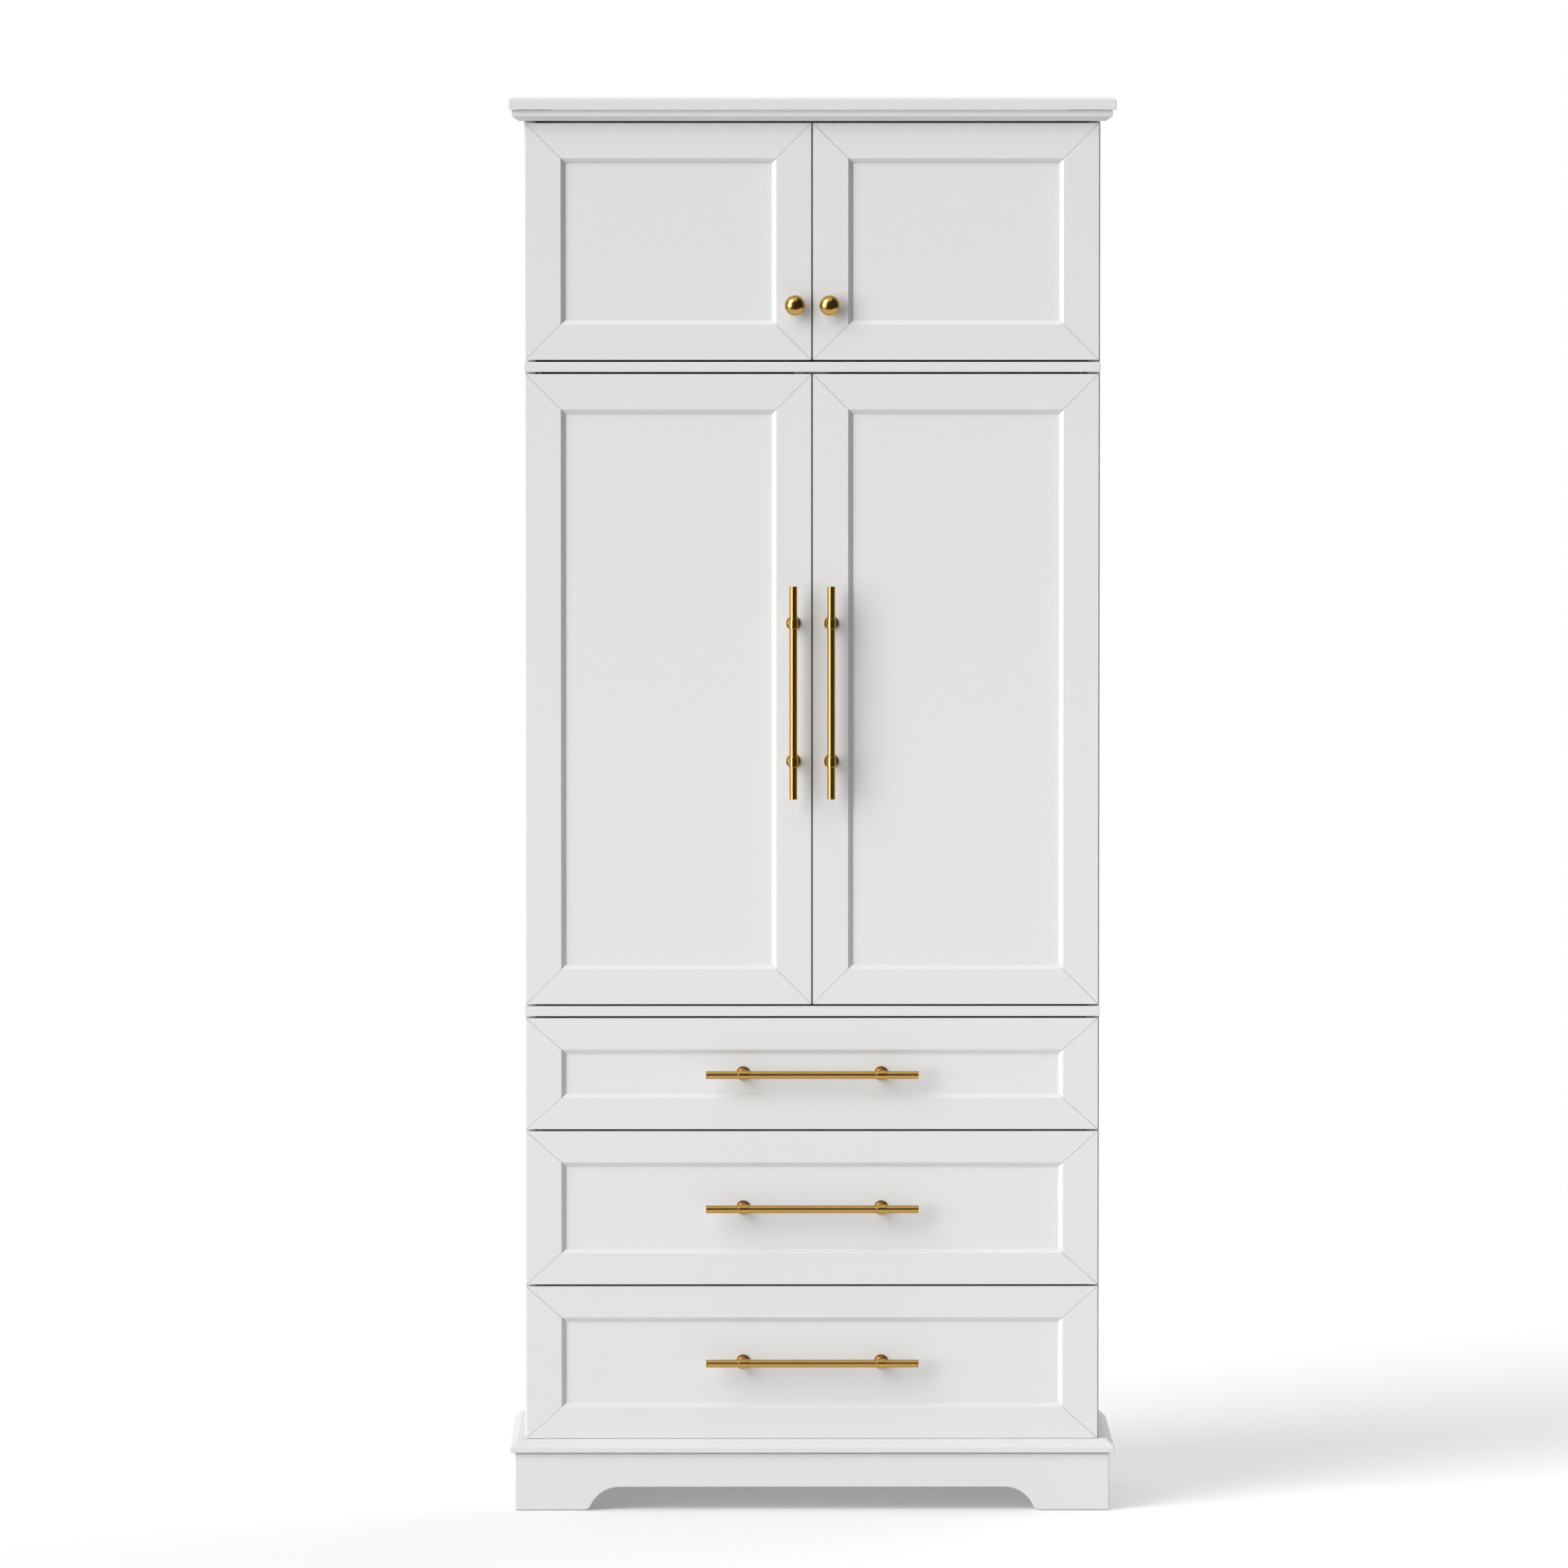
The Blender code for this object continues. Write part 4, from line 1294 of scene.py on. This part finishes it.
def rod_socket(word, side):
    node = f"rod_socket_{word}"
    low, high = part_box(node)
    wall = high.x if side > 0 else low.x
    centre = Vector((wall, (low.y + high.y) / 2, (low.z + high.z) / 2))
    flange = (high.z - low.z) / 2
    outline = [(0, 0.0020), (0.0128, 0.0020), (0.0128, 0.0120), (0.0153, 0.0120),
               (0.0153, 0.0042), (0.0170, 0.0024), (flange - 0.001, 0.0016), (flange, 0.0006),
               (flange, 0), (0, 0)]
    cup = turned(softened(outline, 0.0005), 56)
    screw = Matrix.Translation((0.0188, 0, 0.0016))
    around = [Matrix.Rotation(math.radians(angle), 4, "Z") @ screw for angle in (90, 210, 330)]
    shape = joined([cup, copies(screw_head(0.0021), around)])
    piece(f"{node}_turned", shape, NICKEL, "carcass", [node],
          facing((-side, 0, 0), centre))


length = hanging_rod()
for word, side in (("left", -1), ("right", 1)):
    rod_socket(word, side)
print("rod:", round(length, 4), "long")

# %% Catches and strikes
CATCH = (0.048, 0.014, 0.013)  # width, depth and height
CATCH_IN = 0.0015         # behind the carcass's front edge
MAGNET = (0.006, 0.019)   # from and to, out from the middle
MAGNET_HALF = 0.0042
STRIKE_RADIUS = 0.0068


def strike():
    """A thin round plate with a screw in its middle."""
    plate = turned(softened([(0, 0.0009), (STRIKE_RADIUS, 0.0009), (STRIKE_RADIUS, -0.0004),
                             (0, -0.0004)], 0.0004), 32)
    return joined([plate, moved(screw_head(0.0024), Matrix.Translation((0, 0, 0.0008)))])


def catch(row, z_high):
    """A double catch that hangs from a board, and a strike on each of its doors."""
    y_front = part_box("top_panel")[0].y
    z_low = z_high - CATCH[2]
    y_low = y_front + CATCH_IN
    shape = board((-CATCH[0] / 2, y_low, z_low),
                  (CATCH[0] / 2, y_low + CATCH[1], z_low + CATCH[2]), 0.0012)
    piece(f"catch_{row}_body", shape, NYLON, "carcass")
    z_middle = z_low + CATCH[2] / 2
    for word, side in (("left", -1), ("right", 1)):
        x = sorted(side * reach for reach in MAGNET)
        magnet = board((x[0], y_front + 0.0002, z_middle - MAGNET_HALF),
                       (x[1], y_front + 0.004, z_middle + MAGNET_HALF), 0.0005)
        piece(f"catch_{row}_magnet_{word}", magnet, ZINC, "carcass")
        door_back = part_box(f"{row}_door_{word}_frame")[1].y
        place = facing((0, 1, 0), Vector((side * sum(MAGNET) / 2, door_back, z_middle)))
        piece(f"strike_{row}_{word}", strike(), ZINC, f"{row}_door_{word}", place=place)


catch("upper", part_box("top_panel")[0].z - FIT)
catch("tall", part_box("upper_shelf")[0].z - FIT)
print("catches:", sum(1 for made in scene.objects if made.name.startswith("catch")) // 3)

# %% [markdown]
# ## Floor
#
# The armoire stands in a white studio, on paper so bright that it runs into the background. A
# plain white floor would do that too, but it throws so much light back up that the lower half
# of the piece glows and its bevels lose their shade. In a studio grey cards are laid round it,
# just out of sight. Here Light Path picks out the rays that come from a matt surface, and only
# they see a greyer floor. A little glow stands in for the light that comes from all round.

# %% Floor
FLOOR_LOW = Vector((-4.0, -2.5, 0.0))
FLOOR_HIGH = Vector((4.0, 4.5, 0.0))
FLOOR_GLOW = 0.17
FLOOR_WHITE = 0.90
FLOOR_THROW = 0.49        # the white that matt surfaces see
MOTTLE = 0.02


def floor_finish():
    """White studio paper with a faint mottle."""
    paper = Finish("studio_floor", Roughness=0.9, Emission_Strength=FLOOR_GLOW,
                   Emission_Color=(1.0, 1.0, 1.0, 1.0))
    thrown = paper.node("LightPath", {}, {}, "Is Diffuse Ray")
    mottle = paper.noise(paper.spot(), 1.5, 3.0)
    share = MOTTLE * mottle + (1.0 - MOTTLE) * thrown
    return paper.finish(colour=paper.blend(share, [FLOOR_WHITE] * 3, [FLOOR_THROW] * 3))


shape = bmesh.new()
bmesh.ops.create_grid(shape, x_segments=4, y_segments=4, size=0.5)
bmesh.ops.scale(shape, vec=FLOOR_HIGH - FLOOR_LOW, verts=shape.verts)
bmesh.ops.translate(shape, vec=(FLOOR_LOW + FLOOR_HIGH) / 2, verts=shape.verts)
shown("studio_floor", shape, floor_finish())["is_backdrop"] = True
print("floor:", list(FLOOR_HIGH - FLOOR_LOW))

# %% [markdown]
# ## Lights
#
# Two broad lights stand at the front left. The low one is a tall box that draws the bright
# stripe down every bar and knob, and the high one throws the shadow to the right. Together they
# brighten the bevels that face them, and leave those that face away in shade. The light from
# above picks out ledges, and two at the back keep the rear from going dark. Suns with a wide
# spread are used instead of area lights, because they are even over a piece two metres tall.

# %% Lights
LIGHT_DISTANCE = 8.0      # a sun shines the same from any distance


def sun(name, azimuth, elevation, strength, spread):
    """A broad far light. Azimuth 0 stands in front of the armoire, and -90 at its left."""
    data = bpy.data.lights.new(name, "SUN")
    data.energy = strength
    data.angle = math.radians(spread)
    made = bpy.data.objects.new(name, data)
    scene.collection.objects.link(made)
    a, e = math.radians(azimuth), math.radians(elevation)
    towards = Vector((math.sin(a) * math.cos(e), -math.cos(a) * math.cos(e), math.sin(e)))
    made.matrix_world = facing(towards, towards * LIGHT_DISTANCE)


sun("tall_box", -50, 2, 1.78, 40)
sun("key", -46, 34, 1.80, 40)
sun("front_top", -15, 62, 0.48, 50)
sun("rear_right", 140, 35, 1.05, 60)
sun("rear_left", -150, 30, 0.5, 60)
print("lights:", sorted(light.name for light in bpy.data.lights))

# %% [markdown]
# ## The room, as the world
#
# Brass with nothing dark to reflect looks like yellow paint, so the room in front is dark. A
# world with one grey could not be dark for the brass and still fill the shadows, so this one is
# a pattern: a paler ceiling, a paler rear, and nearly black towards the camera. Only the
# background that the camera sees is white.

# %% The room
ROOM = 0.05
CEILING = 0.20
REAR = 0.25

world = bpy.data.worlds.new("studio")
scene.world = world
world.use_nodes = True
room = Nodes(world.node_tree)
way = room.node("TexCoord", {}, {}, "Generated")
smooth = {"interpolation_type": "SMOOTHSTEP"}
up = room.node("SeparateXYZ", {}, {"Vector": way}, "Z")
back = room.node("SeparateXYZ", {}, {"Vector": way}, "Y")
ceiling = room.node("MapRange", smooth, {"Value": up, "From Min": 0.70, "From Max": 0.95})
rear = room.node("MapRange", smooth, {"Value": back, "From Min": 0.0, "From Max": 0.7})
glow = ROOM + CEILING * ceiling + REAR * rear
seen = room.node("LightPath", {}, {}, "Is Camera Ray")
background = world.node_tree.nodes["Background"]
background.inputs["Color"].default_value = (1.0, 1.0, 1.0, 1.0)
room.join(glow + seen * (1.0 - glow), background.inputs["Strength"])
print("room:", len(world.node_tree.nodes), "nodes")

# %% [markdown]
# ## Camera
#
# The camera stands far off with a long lens, a little above the middle of the piece, and looks
# down on it by about three degrees, so that verticals stay upright and the ledge shows.

# %% Camera
CAMERA_AWAY = 17.0        # in front of the shelves' nosings
CAMERA_SIDE = -0.121
CAMERA_HEIGHT = 1.964
LOOKING_DOWN = 3.200      # degrees
LOOKING_RIGHT = 0.276

camera_data = bpy.data.cameras.new("camera")
camera_data.lens = 281.2
camera_data.sensor_width = 36.0
camera_data.clip_start = 0.5
camera_data.clip_end = 200.0
camera = bpy.data.objects.new("camera", camera_data)
scene.collection.objects.link(camera)
camera.location = (CAMERA_SIDE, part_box("upper_shelf")[0].y - CAMERA_AWAY, CAMERA_HEIGHT)
camera.rotation_euler = (math.radians(90 - LOOKING_DOWN), 0, math.radians(-LOOKING_RIGHT))
scene.camera = camera
scene.view_settings.view_transform = "Standard"
print("camera:", [round(place, 3) for place in camera.location])

# %% Sizes of what is shown
low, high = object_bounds()
print("visual box:", [round(side, 4) for side in high - low])
